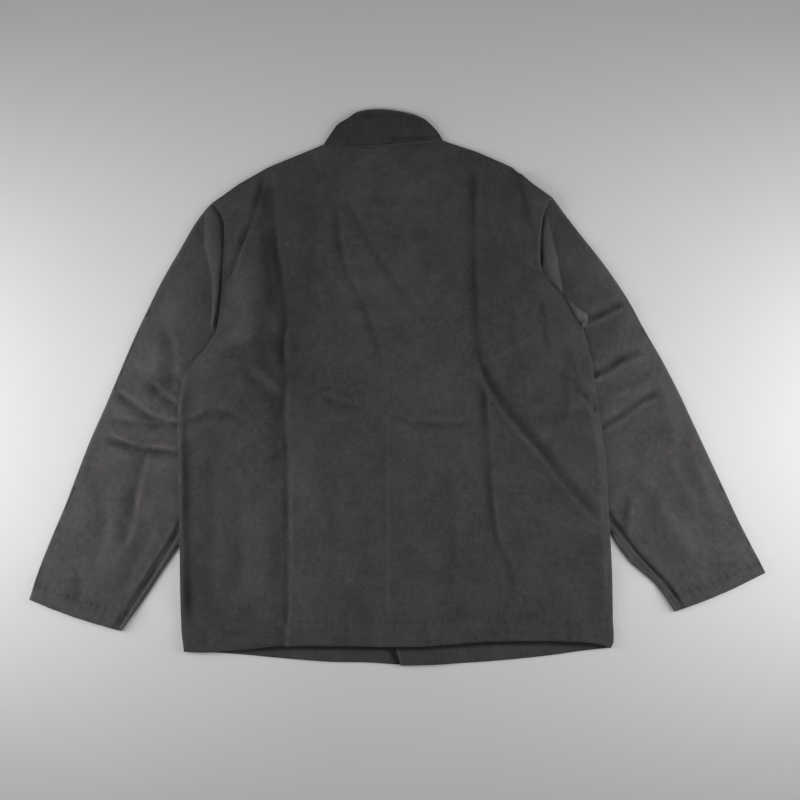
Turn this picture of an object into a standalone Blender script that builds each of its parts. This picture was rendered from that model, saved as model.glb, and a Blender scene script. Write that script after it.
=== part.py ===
"""Shell jacket with a stand collar, laid flat on its front with the back up.

The tables are in millimetres and the Blender scene in metres. +X runs from the
wearer's left sleeve to the right one, +Y towards the collar, +Z up from the floor.
"""

import math

import bmesh
import bpy
import numpy as np

MM = 0.001

# Main sizes of the cut pieces, laid flat
BODY_WIDTH = 600.0
BODY_LENGTH = 700.0
FRONT_WIDTH = 330.0
SLEEVE_LENGTH = 640.0
COLLAR_WIDTH = 160.0

# Walls and gaps
CLOTH = 1.7
HEM_WALL = 3.0
COLLAR_WALL = 2.4
SEAM = 0.3
NECK_SEAM = 0.7
FRONT_NECK_SEAM = 1.3
BODY_AIR = 2.2
FRONT_AIR = 0.9
SLEEVE_AIR = 1.8
CUFF_AIR = 0.9
COLLAR_AIR = 1.2
FOLD_RADIUS = 2.5
FOLD_ANGLES = (0, 38, 90)

# Turned edges
HEM_DEPTH = 30.0
CUFF_DEPTH = 22.0
STITCH_STEP = 1.0
HEM_ZONE = -330.0
HEM_ZONE_RAMP = 10.0

# Body outline, from the hem up to the underarm, then up the armhole to the shoulder: x, y
LEFT_SIDE = (
    (-300, -371),
    (-304, -328),
    (-305, -227),
    (-306, -158),
    (-308, -49),
    (-305, -11),
    (-297, 21),
    (-275, 48),
    (-254, 76),
)
LEFT_ARMHOLE = (
    (-254, 76),
    (-249, 110),
    (-246, 143),
    (-244, 208),
    (-246, 237),
    (-260, 261),
)
RIGHT_SIDE = (
    (301, -366),
    (305, -355),
    (304, -320),
    (302, -257),
    (297, -172),
    (294, -113),
    (288, -62),
    (279, -3),
    (273, 40),
    (261, 83),
)
RIGHT_ARMHOLE = (
    (261, 83),
    (247, 103),
    (232, 130),
    (212, 152),
    (202, 171),
    (203, 212),
    (206, 241),
    (217, 268),
)
UNDERARM_AT = 0.64
UNDERARM_FADE = 0.04

# Shoulders and neck, from left to right: x, y
LEFT_SHOULDER = ((-260, 261), (-222, 288), (-181, 311), (-103, 343))
BACK_NECK = ((-103, 343), (-80, 341), (-45, 341), (-11, 343), (16, 345), (40, 347), (65, 348))
RIGHT_SHOULDER = ((65, 348), (111, 333), (162, 311), (189, 288), (217, 268))
FRONT_NECK = (
    (-103, 343),
    (-98, 318),
    (-80, 295),
    (-48, 279),
    (-15, 275),
    (14, 279),
    (40, 294),
    (58, 318),
    (65, 348),
)
BACK_NECK_FROM, BACK_NECK_TO = 0.345, 0.60
FRONT_SHOULDER_PART = 0.5
LEFT_FRONT_NECK_END = 0.60
RIGHT_FRONT_NECK_END = 0.40
CORNER_FADE = 0.025
ARMHOLE_STEPS = 9

# Hems and front edges, from left to right or from the hem up: x, y
BACK_HEM = (
    (-300, -371),
    (-264, -373),
    (-213, -369),
    (-151, -366),
    (4, -366),
    (69, -363),
    (140, -358),
    (210, -357),
    (274, -359),
    (301, -366),
)
LEFT_FRONT_HEM = (
    (-300, -371),
    (-258, -373),
    (-213, -376),
    (-172, -380),
    (-97, -386),
    (-42, -387),
    (4, -390),
    (42, -390),
)
RIGHT_FRONT_HEM = (
    (5, -391),
    (69, -388),
    (140, -383),
    (210, -377),
    (257, -370),
    (301, -366),
)
LEFT_FRONT_EDGE_MIDDLE = ((38, -250), (27, -60), (17, 120))
RIGHT_FRONT_EDGE_MIDDLE = ((-8, -330), (-13, -200), (-15, -20), (-24, 120))

# Where the two fronts overlap: left and right limit, and the ramp beyond them
OVERLAP_LEFT, OVERLAP_RIGHT, OVERLAP_RAMP = -16.0, 44.0, 50.0
OVERLAP_LEAN = -32.0 / 650.0
OVERLAP_FROM_Y = -366.0

# Buttons, with the channel that the fronts bridge over them
BUTTON_RADIUS = 10.0
BUTTON_THICK = 3.0
BUTTON_ROUND = 0.8
BUTTON_SIDES = 20
BUTTON_ROWS = ((-5, 235), (2, 115), (9, -5), (16, -125), (23, -245))
CHANNEL_HALF, CHANNEL_RAMP = 13.0, 45.0
CHANNEL_TOP, CHANNEL_TOP_END = 250.0, 22.0
CHANNEL_BOTTOM, CHANNEL_BOTTOM_END = -272.0, 45.0

# The sleeves' inner edges under the body, which lift it: x, y
TUCK_LEFT = (
    (-248, 160),
    (-242, 120),
    (-236, 84),
    (-230, 40),
    (-228, 0),
    (-231, -59),
    (-245, -116),
    (-269, -168),
    (-303, -222),
    (-343, -277),
)
TUCK_RIGHT = (
    (200, 176),
    (206, 148),
    (222, 122),
    (234, 96),
    (238, 70),
    (228, 30),
    (222, -18),
    (224, -56),
    (233, -100),
    (250, -140),
    (271, -174),
    (298, -205),
    (343, -256),
)
TUCK_LIFT = 6.5
TUCK_REACH, TUCK_RAMP = 8.0, 85.0

# Sleeve sections from the armhole to the cuff: outer x, y, then inner x, y
LEFT_SLEEVE = (
    (-260, 261, -247, 68),
    (-268, 253, -239, 54),
    (-284, 232, -233, 40),
    (-304, 198, -229, 23),
    (-330, 153, -229, 4),
    (-353, 107, -229, -14),
    (-374, 62, -232, -37),
    (-393, 17, -237, -68),
    (-412, -28, -247, -104),
    (-432, -73, -263, -141),
    (-450, -119, -281, -178),
    (-467, -164, -302, -216),
    (-486, -209, -330, -258),
    (-504, -254, -357, -299),
    (-518, -298, -388, -342),
)
RIGHT_SLEEVE = (
    (218, 268, 254, 71),
    (228, 256, 244, 56),
    (241, 239, 234, 40),
    (261, 213, 229, 21),
    (291, 175, 226, 1),
    (322, 130, 224, -20),
    (347, 85, 226, -45),
    (373, 40, 230, -73),
    (397, -6, 239, -104),
    (418, -51, 253, -138),
    (439, -96, 273, -172),
    (460, -141, 297, -201),
    (481, -186, 326, -243),
    (503, -229, 364, -277),
    (519, -260, 391, -315),
)
HEAD_FADE = 0.24
HEAD_LIFT_FADE = 0.14
HEAD_TUCK = 8.0
HEAD_SEAM = 0.38
LEFT_TUCK_FROM, RIGHT_TUCK_FROM = 5 / ARMHOLE_STEPS, 4 / ARMHOLE_STEPS
TUCK_SLIDE = 0.16
CUFF_BOW, CUFF_BOW_FROM = 3.0, 0.9
CUFF_SWELL = 2.2
SLEEVE_SEAM_FROM, SLEEVE_SEAM_TO = 8 / ARMHOLE_STEPS, 0.905
SLEEVE_SEAM_STEP = 0.9
SLEEVE_SEAM_FADE = (0.4, 0.6)
SLEEVE_PUFF = 1.7
PUFF_FADE = (0.1, 0.3)
PUFF_END_TOP, PUFF_END_CUFF = 0.45, 0.90
PUFF_END_FADE = (0.6, 0.85)

# Collar band: fold lines from the neck up, then its upper edges from left to right
COLLAR_LEFT_FOLD = ((-97, 353), (-84, 371), (-71, 379), (-58, 388))
COLLAR_RIGHT_FOLD = ((60, 357), (52, 367), (40, 378))
COLLAR_BACK_TOP = ((-58, 388), (-45, 391), (-23, 392), (-1, 390), (23, 385), (40, 378))
COLLAR_FRONT_TOP = ((-58, 388), (-48, 350), (-15, 323), (20, 348), (40, 378))
COLLAR_OPENING = 0.012
COLLAR_CENTRE = 0.5

# Creases: height at the middle, half width, then points along it as x, y
BACK_CREASES = (
    (-1.2, 11, ((-178, 285), (-159, 140), (-161, 10), (-157, -66), (-154, -357))),
    (0.9, 12, ((-143, 10), (-139, -66), (-138, -350))),
    (-0.8, 12, ((-191, 277), (-215, 216), (-239, 93))),
    (-1.3, 12, ((109, 313), (111, 184), (114, 54), (124, 21))),
    (-1.1, 26, ((124, 21), (168, -49), (227, -120), (279, -190))),
    (-0.9, 12, ((119, -38), (127, -98), (136, -174), (157, -249), (157, -356))),
    (0.8, 13, ((-13, -31), (-13, -335))),
    (-0.7, 15, ((-86, 264), (-43, 205), (17, 134))),
    (-0.6, 13, ((-291, -49), (-213, -52))),
    (-0.6, 14, ((174, -44), (276, -33))),
)
SLEEVE_LEFT_CREASES = (
    (-1.0, 12, ((-381, -9), (-336, -45), (-309, -54))),
    (-1.0, 13, ((-404, -75), (-366, -85), (-311, -93))),
    (1.4, 10, ((-268, 244), (-258, 175), (-254, 110))),
)
SLEEVE_RIGHT_CREASES = (
    (-1.0, 13, ((268, 95), (311, 110))),
    (-1.1, 13, ((279, 21), (337, 47))),
    (-1.0, 14, ((290, -54), (370, -7))),
    (1.6, 12, ((214, 240), (224, 195), (228, 165))),
)

# Grid steps
BACK_STEP, BACK_FINE_STEP = 23.0, 12.0
BACK_FINE = ((0.16, 0.26), (0.69, 0.78))
FRONT_STEP, FRONT_FINE_STEP = 27.0, 14.0
SIDE_STEP = 30.0
SLEEVE_STEP, HEAD_STEP = 34.0, 17.0
HEAD_FINE = ((0.0, 0.12),)
COLLAR_STEP = 9.0
COLLAR_ROWS = 5

SHADES = {
    "back": (0.040, 0.039, 0.040),
    "front": (0.038, 0.037, 0.038),
    "sleeve": (0.048, 0.046, 0.045),
    "collar": (0.030, 0.029, 0.030),
    "button": (0.014, 0.013, 0.013),
}
CLOTH_ROUGHNESS, BUTTON_ROUGHNESS = 0.92, 0.38


def smooth(value):
    value = np.clip(value, 0.0, 1.0)
    return value * value * (3 - 2 * value)


def between(value, limits):
    """Rises smoothly from 0 to 1 between two limits."""
    return smooth((value - limits[0]) / (limits[1] - limits[0]))


def rounded(rows, steps=6):
    """Points on a Catmull-Rom curve through the rows."""
    points = np.array(rows, float)
    padded = np.vstack([2 * points[0] - points[1], points, 2 * points[-1] - points[-2]])
    found = []
    for a, b, c, d in zip(padded, padded[1:], padded[2:], padded[3:]):
        for t in np.arange(steps) / steps:
            bend = (2 * a - 5 * b + 4 * c - d) * t**2 + (3 * b - a - 3 * c + d) * t**3
            found.append(b + 0.5 * ((c - a) * t + bend))
    return np.array(found + [points[-1]])


def path(*parts, knots=(0.0, 1.0)):
    """One line from parts laid end to end, each measured by its length between two knots."""
    places, points = [], []
    for part, start, end in zip(parts, knots, knots[1:]):
        length = np.cumsum(np.hypot(*np.diff(part, axis=0, prepend=part[:1]).T))
        places.append(start + (end - start) * length / length[-1])
        points.append(part)
    return np.concatenate(places), np.vstack(points)


def at(line, t):
    places, points = line
    return np.stack([np.interp(t, places, points[:, k]) for k in (0, 1)], axis=-1)


def cut(line, start, end, count=24):
    return at(line, np.linspace(start, end, count))


def offset(points, distance):
    """The line moved to its left-hand side."""
    along = np.gradient(points, axis=0)
    along /= np.hypot(*along.T)[:, None]
    return points + distance * np.stack([-along[:, 1], along[:, 0]], axis=-1)


def patch(bottom, top, left, right, u, v):
    """A Coons patch between four lines that meet at their ends."""
    u, v = u[..., None], v[..., None]
    u0, v0 = u[..., 0], v[..., 0]
    across = (1 - v) * at(bottom, u0) + v * at(top, u0)
    along = (1 - u) * at(left, v0) + u * at(right, v0)
    low = (1 - u) * at(bottom, 0.0) + u * at(bottom, 1.0)
    high = (1 - u) * at(top, 0.0) + u * at(top, 1.0)
    return across + along - (1 - v) * low - v * high


def nearest(x, y, rows):
    """Distance to the line through the rows, and on which side of it each point is."""
    best = np.full(np.shape(x), np.inf)
    side = np.ones(np.shape(x))
    points = np.array(rows, float)
    for (ax, ay), (bx, by) in zip(points, points[1:]):
        dx, dy = bx - ax, by - ay
        t = np.clip(((x - ax) * dx + (y - ay) * dy) / (dx * dx + dy * dy), 0, 1)
        gap = np.hypot(x - ax - t * dx, y - ay - t * dy)
        turn = np.sign(dx * (y - ay) - dy * (x - ax))
        side = np.where(gap < best - 1e-6, turn, side)
        best = np.minimum(best, gap)
    return best, side


def creases(x, y, rows):
    height = np.zeros(np.shape(x))
    for middle, half_width, line in rows:
        gap, _ = nearest(x, y, line)
        height += middle * np.exp(-((gap / half_width) ** 2))
    return height


def spread(length, step, fine=0.0, windows=()):
    """Fractions of a length, a step apart, and a finer step in the windows."""
    u = np.linspace(0, 1, 801)
    density = np.full(u.shape, length / step)
    for low, high in windows:
        density[(u > low) & (u < high)] = length / fine
    total = np.cumsum(np.diff(u, prepend=0) * density)
    return np.interp(np.linspace(0, total[-1], round(total[-1]) + 1), total, u)


def tuck_lift(x, y):
    """How far the body panels ride up over the sleeves tucked under them."""
    lift = np.zeros(np.shape(x))
    for rows, body_side in ((TUCK_LEFT, 1), (TUCK_RIGHT, -1)):
        gap, side = nearest(x, y, rows)
        signed = gap * side * body_side
        lift = np.maximum(lift, smooth((TUCK_REACH + TUCK_RAMP - signed) / TUCK_RAMP))
    return TUCK_LIFT * lift


def channel_lift(x, y):
    centres = np.array(BUTTON_ROWS, float)[::-1]
    centre = np.interp(y, centres[:, 1], centres[:, 0])
    across = smooth((CHANNEL_HALF + CHANNEL_RAMP - np.abs(x - centre)) / CHANNEL_RAMP)
    up = smooth((CHANNEL_TOP + CHANNEL_TOP_END - y) / CHANNEL_TOP_END)
    down = smooth((y - CHANNEL_BOTTOM + CHANNEL_BOTTOM_END) / CHANNEL_BOTTOM_END)
    return (BUTTON_THICK + SEAM) * across * up * down


def hem_extra(y):
    return (HEM_WALL - CLOTH) * smooth((HEM_ZONE - y) / HEM_ZONE_RAMP)


def overlap_shift(y):
    return OVERLAP_LEAN * (y - OVERLAP_FROM_Y)


def left_front_under(x, y):
    return channel_lift(x, y) + tuck_lift(x, y)


def right_front_under(x, y):
    over = smooth((OVERLAP_RIGHT + OVERLAP_RAMP - x + overlap_shift(y)) / OVERLAP_RAMP)
    step = CLOTH + FRONT_AIR + hem_extra(y)
    return channel_lift(x, y) + tuck_lift(x, y) + step * over


def back_under(x, y):
    x_from_overlap = x - overlap_shift(y)
    right = smooth((OVERLAP_RIGHT + OVERLAP_RAMP - x_from_overlap) / OVERLAP_RAMP)
    left = smooth((x_from_overlap - OVERLAP_LEFT + OVERLAP_RAMP) / OVERLAP_RAMP)
    step = CLOTH + FRONT_AIR + hem_extra(y)
    base = channel_lift(x, y) + tuck_lift(x, y) + CLOTH + hem_extra(y) + BODY_AIR
    return base + step * right * left


def turned_wall(distance, depth, wall):
    """Wall thickness at a distance from a turned edge."""
    turned = smooth((depth + STITCH_STEP - distance) / (2 * STITCH_STEP))
    return wall + (HEM_WALL - wall) * turned


def stations(fractions, roll_start, roll_end):
    """Fraction, side of the rolled edge, and cosine and sine round it, for each column or row."""
    angles = np.radians(FOLD_ANGLES)
    first, last = int(roll_start), len(fractions) - int(roll_end)
    rows = [(f, 0.0, 0.0, 1.0) for f in fractions[first:last]]
    if roll_start:
        rows = [(0.0, 1.0, math.cos(a), math.sin(a)) for a in angles] + rows
    if roll_end:
        rows += [(1.0, -1.0, math.cos(a), math.sin(a)) for a in angles[::-1]]
    return np.array(rows).T


def body_panel(lines, columns, rows, roll_side, roll_top, under, upper):
    """Outer and inner points of a back or front, its closed edges rolled to half height."""
    bottom, top, left, right = lines
    u0, u_edge, u_cos, u_sin = (value[None, :] for value in columns)
    v0, v_edge, v_cos, v_sin = (value[:, None] for value in rows)
    u0, v0 = np.broadcast_arrays(u0, v0)
    width = np.hypot(*np.moveaxis(at(right, v0) - at(left, v0), -1, 0))
    height = np.hypot(*np.moveaxis(at(top, u0) - at(bottom, u0), -1, 0))
    wall = turned_wall(v0 * height, HEM_DEPTH, CLOTH)
    side, shoulder = roll_side(v0), roll_top(u0)
    u_outer = u0 + u_edge * FOLD_RADIUS * (1 - u_cos) / width
    v_outer = v0 + v_edge * FOLD_RADIUS * (1 - v_cos) / height
    u_inner = u_outer + u_edge * wall * u_cos * side / width
    v_inner = v_outer + v_edge * wall * v_cos * shoulder / height
    full = (1 - side * (1 - u_sin)) * (1 - shoulder * (1 - v_sin))
    outer = patch(bottom, top, left, right, u_outer, v_outer)
    inner = patch(bottom, top, left, right, u_inner, v_inner)
    x, y = outer[..., 0], outer[..., 1]
    low, high = under(x, y), back_under(x, y) + wall
    if upper:
        high = high + creases(x, y, BACK_CREASES) * full
    middle, half = (low + high) / 2, (high - low) / 2
    sign, gap = (1 if upper else -1), SEAM / 2
    z_outer = middle + sign * (gap + (half - gap) * full)
    z_inner = middle + sign * (gap + (half - wall - gap) * full)
    return np.dstack([outer, z_outer]), np.dstack([inner, z_inner])


def side_line(side, armhole):
    return path(rounded(side), rounded(armhole), knots=(0.0, UNDERARM_AT, 1.0))


def side_roll(v):
    """1 where the back and a front share a folded side edge, 0 along the armhole."""
    return smooth((UNDERARM_AT - v) / UNDERARM_FADE)


def body_rows():
    """Rows from the hem to the shoulder, with the armhole in even steps."""
    depth, turn = HEM_DEPTH / BODY_LENGTH, STITCH_STEP / BODY_LENGTH
    side = UNDERARM_AT - depth - turn
    above = depth + turn + side * spread(side * BODY_LENGTH, SIDE_STEP)
    armhole = UNDERARM_AT + (1 - UNDERARM_AT) * np.arange(1, ARMHOLE_STEPS + 1) / ARMHOLE_STEPS
    return stations(np.concatenate([[0.0, depth / 2, depth - turn], above, armhole]), False, True)


def make_back():
    neck = rounded(BACK_NECK)
    top = path(
        np.array(LEFT_SHOULDER, float),
        neck,
        np.array(RIGHT_SHOULDER, float),
        knots=(0.0, BACK_NECK_FROM, BACK_NECK_TO, 1.0),
    )
    left = side_line(LEFT_SIDE, LEFT_ARMHOLE)
    right = side_line(RIGHT_SIDE, RIGHT_ARMHOLE)

    def roll_top(u):
        before_neck = smooth((BACK_NECK_FROM - u) / CORNER_FADE)
        after_neck = smooth((u - BACK_NECK_TO) / CORNER_FADE)
        return np.maximum(before_neck, after_neck)

    columns = stations(spread(BODY_WIDTH, BACK_STEP, BACK_FINE_STEP, BACK_FINE), True, True)

    def under(x, y):
        return np.where(x < 0, left_front_under(x, y), right_front_under(x, y))

    lines = (path(rounded(BACK_HEM)), top, left, right)
    return body_panel(lines, columns, body_rows(), side_roll, roll_top, under, True)


def make_front(left_side):
    neck = path(rounded(FRONT_NECK))
    if left_side:
        end = cut(neck, 0.0, LEFT_FRONT_NECK_END)
        top = path(np.array(LEFT_SHOULDER, float), end, knots=(0.0, FRONT_SHOULDER_PART, 1.0))
        edge = rounded((LEFT_FRONT_HEM[-1], *LEFT_FRONT_EDGE_MIDDLE, tuple(end[-1])))
        lines = (path(rounded(LEFT_FRONT_HEM)), top, side_line(LEFT_SIDE, LEFT_ARMHOLE), path(edge))
    else:
        start = cut(neck, RIGHT_FRONT_NECK_END, 1.0)
        top = path(start, np.array(RIGHT_SHOULDER, float), knots=(0.0, 1 - FRONT_SHOULDER_PART, 1.0))
        edge = rounded((RIGHT_FRONT_HEM[0], *RIGHT_FRONT_EDGE_MIDDLE, tuple(start[0])))
        lines = (path(rounded(RIGHT_FRONT_HEM)), top, path(edge), side_line(RIGHT_SIDE, RIGHT_ARMHOLE))

    def roll_top(u):
        from_side = u if left_side else 1 - u
        return smooth((FRONT_SHOULDER_PART - from_side) / CORNER_FADE)

    centre_half = (0.5, 1.0) if left_side else (0.0, 0.5)
    across = spread(FRONT_WIDTH, FRONT_STEP, FRONT_FINE_STEP, (centre_half,))
    columns = stations(across, left_side, not left_side)
    under = left_front_under if left_side else right_front_under
    return body_panel(lines, columns, body_rows(), side_roll, roll_top, under, False)


def tube_stations(fractions):
    """Round a flattened tube: fraction, rolled edge, cosine, sine and which layer it is in."""
    over = stations(fractions, True, True)
    under = over[:, ::-1][:, 1:-1]
    layer = np.concatenate([np.ones(over.shape[1]), -np.ones(under.shape[1])])
    return np.vstack([np.hstack([over, under]), layer])


def make_sleeve(sections, armhole, tuck_from, body_side, crease_rows):
    table = np.array(sections, float)
    places = np.linspace(0, 1, 6 * (len(table) - 1) + 1)
    outer_line, inner_line = (places, rounded(table[:, :2])), (places, rounded(table[:, 2:]))
    head = path(rounded(armhole)[::-1])
    cuff, turn = CUFF_DEPTH / SLEEVE_LENGTH, STITCH_STEP / SLEEVE_LENGTH
    upper_rows = (1 - cuff - turn) * spread(SLEEVE_LENGTH, SLEEVE_STEP, HEAD_STEP, HEAD_FINE)
    s = np.concatenate([upper_rows, [1 - cuff + turn, 1 - cuff / 2, 1.0]])[:, None]
    across = np.append(np.arange(ARMHOLE_STEPS + 1) / ARMHOLE_STEPS, SLEEVE_SEAM_TO)
    t0, edge, cos, sin, layer = (value[None, :] for value in tube_stations(np.sort(across)))

    start, end = at(outer_line, s), at(inner_line, s)
    width = np.hypot(*np.moveaxis(end - start, -1, 0))
    wall = turned_wall((1 - s) * SLEEVE_LENGTH, CUFF_DEPTH, CLOTH)
    t_outer = t0 + edge * FOLD_RADIUS * (1 - cos) / width
    t_inner = t_outer + edge * wall * cos / width

    tucked = smooth((t_outer[:1] - tuck_from) / TUCK_SLIDE)
    dropped = smooth((t_outer[:1] - tuck_from + TUCK_SLIDE) / TUCK_SLIDE)
    seam_line = at(head, t_outer[:1])
    head_line = seam_line + np.dstack(
        [body_side * (HEAD_TUCK * tucked - HEAD_SEAM * (1 - tucked)), -HEAD_TUCK * tucked]
    )

    def plan(t):
        chord = (1 - t[..., None]) * start + t[..., None] * end
        fade = (1 - smooth(s / HEAD_FADE))[..., None]
        bow = CUFF_BOW * np.sin(np.pi * t) * between(s, (CUFF_BOW_FROM, 1.0))
        shift = (head_line - chord[:1]) * fade
        return chord + shift + np.dstack([np.zeros_like(t), -bow])

    outer, inner = plan(t_outer), plan(t_inner)
    x, y = outer[..., 0], outer[..., 1]
    lift = tuck_lift(seam_line[..., 0], seam_line[..., 1]) * (1 - dropped)
    low = lift * (1 - smooth(s / HEAD_LIFT_FADE)) * np.ones_like(t_outer)
    cuffed = smooth((s - 1 + CUFF_SWELL * cuff) / cuff)
    stack = 2 * CLOTH + SLEEVE_AIR + (2 * (HEM_WALL - CLOTH) + CUFF_AIR - SLEEVE_AIR) * cuffed
    puff_end = PUFF_END_TOP + (PUFF_END_CUFF - PUFF_END_TOP) * between(s, PUFF_END_FADE)
    puff = SLEEVE_PUFF * np.sin(np.pi * np.clip(t_outer / puff_end, 0, 1)) ** 2
    puff = puff * between(s, PUFF_FADE) * (1 - cuffed)
    past_seam = between(t_outer, (SLEEVE_SEAM_FROM, SLEEVE_SEAM_TO))
    step = SLEEVE_SEAM_STEP * past_seam * between(s, SLEEVE_SEAM_FADE) * (1 - cuffed)
    upper = (layer > 0) * sin
    high = low + stack + (puff - step + creases(x, y, crease_rows)) * upper
    middle, half = (low + high) / 2, (high - low) / 2
    z_outer = middle + layer * half * sin
    z_inner = middle + layer * (half - wall) * sin
    return np.dstack([outer, z_outer]), np.dstack([inner, z_inner])


def collar_layer(neck, seam, top):
    """The four edge lines of the collar's back or front layer, clear of the neck seam."""
    base = offset(rounded(neck), seam)
    left = rounded((tuple(base[0]), *COLLAR_LEFT_FOLD))
    right = rounded((tuple(base[-1]), *COLLAR_RIGHT_FOLD))
    return path(base), path(rounded(top)), path(left), path(right)


def make_collar():
    back = collar_layer(BACK_NECK, NECK_SEAM, COLLAR_BACK_TOP)
    front = collar_layer(FRONT_NECK, FRONT_NECK_SEAM, COLLAR_FRONT_TOP)
    t0, edge, cos, sin, layer = tube_stations(spread(COLLAR_WIDTH, COLLAR_STEP))
    start = np.argmax((layer < 0) & (edge == 0) & (t0 < COLLAR_CENTRE))
    order = np.roll(np.arange(len(t0)), -start)
    t0, edge, cos, sin, layer = (value[order][None, :] for value in (t0, edge, cos, sin, layer))
    t0 = t0.copy()
    t0[0, 0] = COLLAR_CENTRE - COLLAR_OPENING
    t0[0, -1] = COLLAR_CENTRE + COLLAR_OPENING
    v = np.linspace(0, 1, COLLAR_ROWS)[:, None]
    t_outer = t0 + edge * FOLD_RADIUS * (1 - cos) / COLLAR_WIDTH + 0 * v
    t_inner = t_outer + edge * COLLAR_WALL * cos / COLLAR_WIDTH
    v = v + 0 * t0

    def plan(t):
        return np.where(layer[..., None] > 0, patch(*back, t, v), patch(*front, t, v))

    outer, inner = plan(t_outer), plan(t_inner)
    half = COLLAR_WALL + COLLAR_AIR / 2
    z_outer = half + layer * half * sin + 0 * v
    z_inner = half + layer * (half - COLLAR_WALL) * sin + 0 * v
    return np.dstack([outer, z_outer]), np.dstack([inner, z_inner])


def new_material(name, colour, roughness):
    material = bpy.data.materials.new(name)
    material.use_nodes = True
    shader = material.node_tree.nodes["Principled BSDF"]
    shader.inputs["Base Color"].default_value = (*colour, 1.0)
    shader.inputs["Roughness"].default_value = roughness
    shader.inputs["Metallic"].default_value = 0.0
    material.diffuse_color = (*colour, 1.0)
    return material


def add_mesh(name, mesh, material, collection):
    mesh.materials.append(material)
    mesh.shade_smooth()
    mesh.set_sharp_from_angle(angle=math.radians(50))
    piece = bpy.data.objects.new(name, mesh)
    collection.objects.link(piece)
    return piece


def add_wall(name, layers, ring, material, collection):
    """A closed wall between an outer and an inner grid of points."""
    outer, inner = layers
    rows, columns = outer.shape[:2]
    index = np.arange(rows * columns).reshape(rows, columns)
    if ring:
        index = np.hstack([index, index[:, :1]])
    back = index + rows * columns
    faces = []
    for grid, turn in ((index, 1), (back, -1)):
        corners = np.stack([grid[:-1, :-1], grid[:-1, 1:], grid[1:, 1:], grid[1:, :-1]], axis=-1)
        faces += corners.reshape(-1, 4)[:, ::turn].tolist()
    rims = [(index[0], back[0]), (back[-1], index[-1])]
    if not ring:
        rims += [(back[:, 0], index[:, 0]), (index[:, -1], back[:, -1])]
    for near, far in rims:
        faces += np.stack([far[:-1], far[1:], near[1:], near[:-1]], axis=-1).tolist()
    mesh = bpy.data.meshes.new(name)
    points = np.vstack([outer.reshape(-1, 3), inner.reshape(-1, 3)]) * MM
    mesh.from_pydata(points.tolist(), [], faces)
    shape = bmesh.new()
    shape.from_mesh(mesh)
    bmesh.ops.recalc_face_normals(shape, faces=shape.faces)
    shape.to_mesh(mesh)
    shape.free()
    return add_mesh(name, mesh, material, collection)


def add_button(name, x, y, material, collection):
    shape = bmesh.new()
    bmesh.ops.create_cone(
        shape,
        cap_ends=True,
        segments=BUTTON_SIDES,
        radius1=BUTTON_RADIUS * MM,
        radius2=BUTTON_RADIUS * MM,
        depth=BUTTON_THICK * MM,
    )
    rims = [edge for edge in shape.edges if abs(edge.verts[0].co.z - edge.verts[1].co.z) < 1e-6]
    bmesh.ops.bevel(shape, geom=rims, offset=BUTTON_ROUND * MM, segments=1, affect="EDGES")
    mesh = bpy.data.meshes.new(name)
    shape.to_mesh(mesh)
    shape.free()
    piece = add_mesh(name, mesh, material, collection)
    piece.location = (x * MM, y * MM, BUTTON_THICK / 2 * MM)
    return piece


def main():
    for old in list(bpy.data.objects):
        bpy.data.objects.remove(old)
    collection = bpy.data.collections.new("shell_jacket")
    bpy.context.scene.collection.children.link(collection)
    shade = {
        name: new_material(name + "_cloth", colour, CLOTH_ROUGHNESS)
        for name, colour in SHADES.items()
        if name != "button"
    }
    shade["button"] = new_material("button_resin", SHADES["button"], BUTTON_ROUGHNESS)
    add_wall("back", make_back(), False, shade["back"], collection)
    add_wall("front_left", make_front(True), False, shade["front"], collection)
    add_wall("front_right", make_front(False), False, shade["front"], collection)
    left = make_sleeve(LEFT_SLEEVE, LEFT_ARMHOLE, LEFT_TUCK_FROM, 1, SLEEVE_LEFT_CREASES)
    right = make_sleeve(RIGHT_SLEEVE, RIGHT_ARMHOLE, RIGHT_TUCK_FROM, -1, SLEEVE_RIGHT_CREASES)
    add_wall("sleeve_left", left, True, shade["sleeve"], collection)
    add_wall("sleeve_right", right, True, shade["sleeve"], collection)
    add_wall("collar", make_collar(), False, shade["collar"], collection)
    for number, (x, y) in enumerate(BUTTON_ROWS, start=1):
        add_button(f"button_{number}", x, y, shade["button"], collection)


main()
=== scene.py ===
"""Looks of the shell jacket, laid flat on its front with the back up.

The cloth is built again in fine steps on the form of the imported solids, with its folds,
seams, stitches and buttons. The tables are in millimetres, in the solids' own frame:
+X runs to the wearer's right sleeve, +Y towards the collar, +Z up from the floor.
"""

import math

import bmesh
import bpy
import numpy as np
from mathutils import Matrix, Vector

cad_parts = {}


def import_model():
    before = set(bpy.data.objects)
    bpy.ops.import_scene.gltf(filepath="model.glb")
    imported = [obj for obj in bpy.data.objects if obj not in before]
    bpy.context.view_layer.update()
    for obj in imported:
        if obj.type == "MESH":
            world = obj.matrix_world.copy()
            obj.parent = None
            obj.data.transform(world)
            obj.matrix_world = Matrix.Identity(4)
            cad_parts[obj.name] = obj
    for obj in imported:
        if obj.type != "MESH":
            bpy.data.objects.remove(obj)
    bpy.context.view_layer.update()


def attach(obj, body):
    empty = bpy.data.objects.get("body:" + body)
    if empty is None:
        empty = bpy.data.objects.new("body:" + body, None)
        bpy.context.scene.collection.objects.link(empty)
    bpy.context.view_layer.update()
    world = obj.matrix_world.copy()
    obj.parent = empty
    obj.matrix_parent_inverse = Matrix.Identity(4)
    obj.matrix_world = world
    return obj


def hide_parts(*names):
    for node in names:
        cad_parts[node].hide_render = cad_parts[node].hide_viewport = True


MM = 0.001

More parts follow.
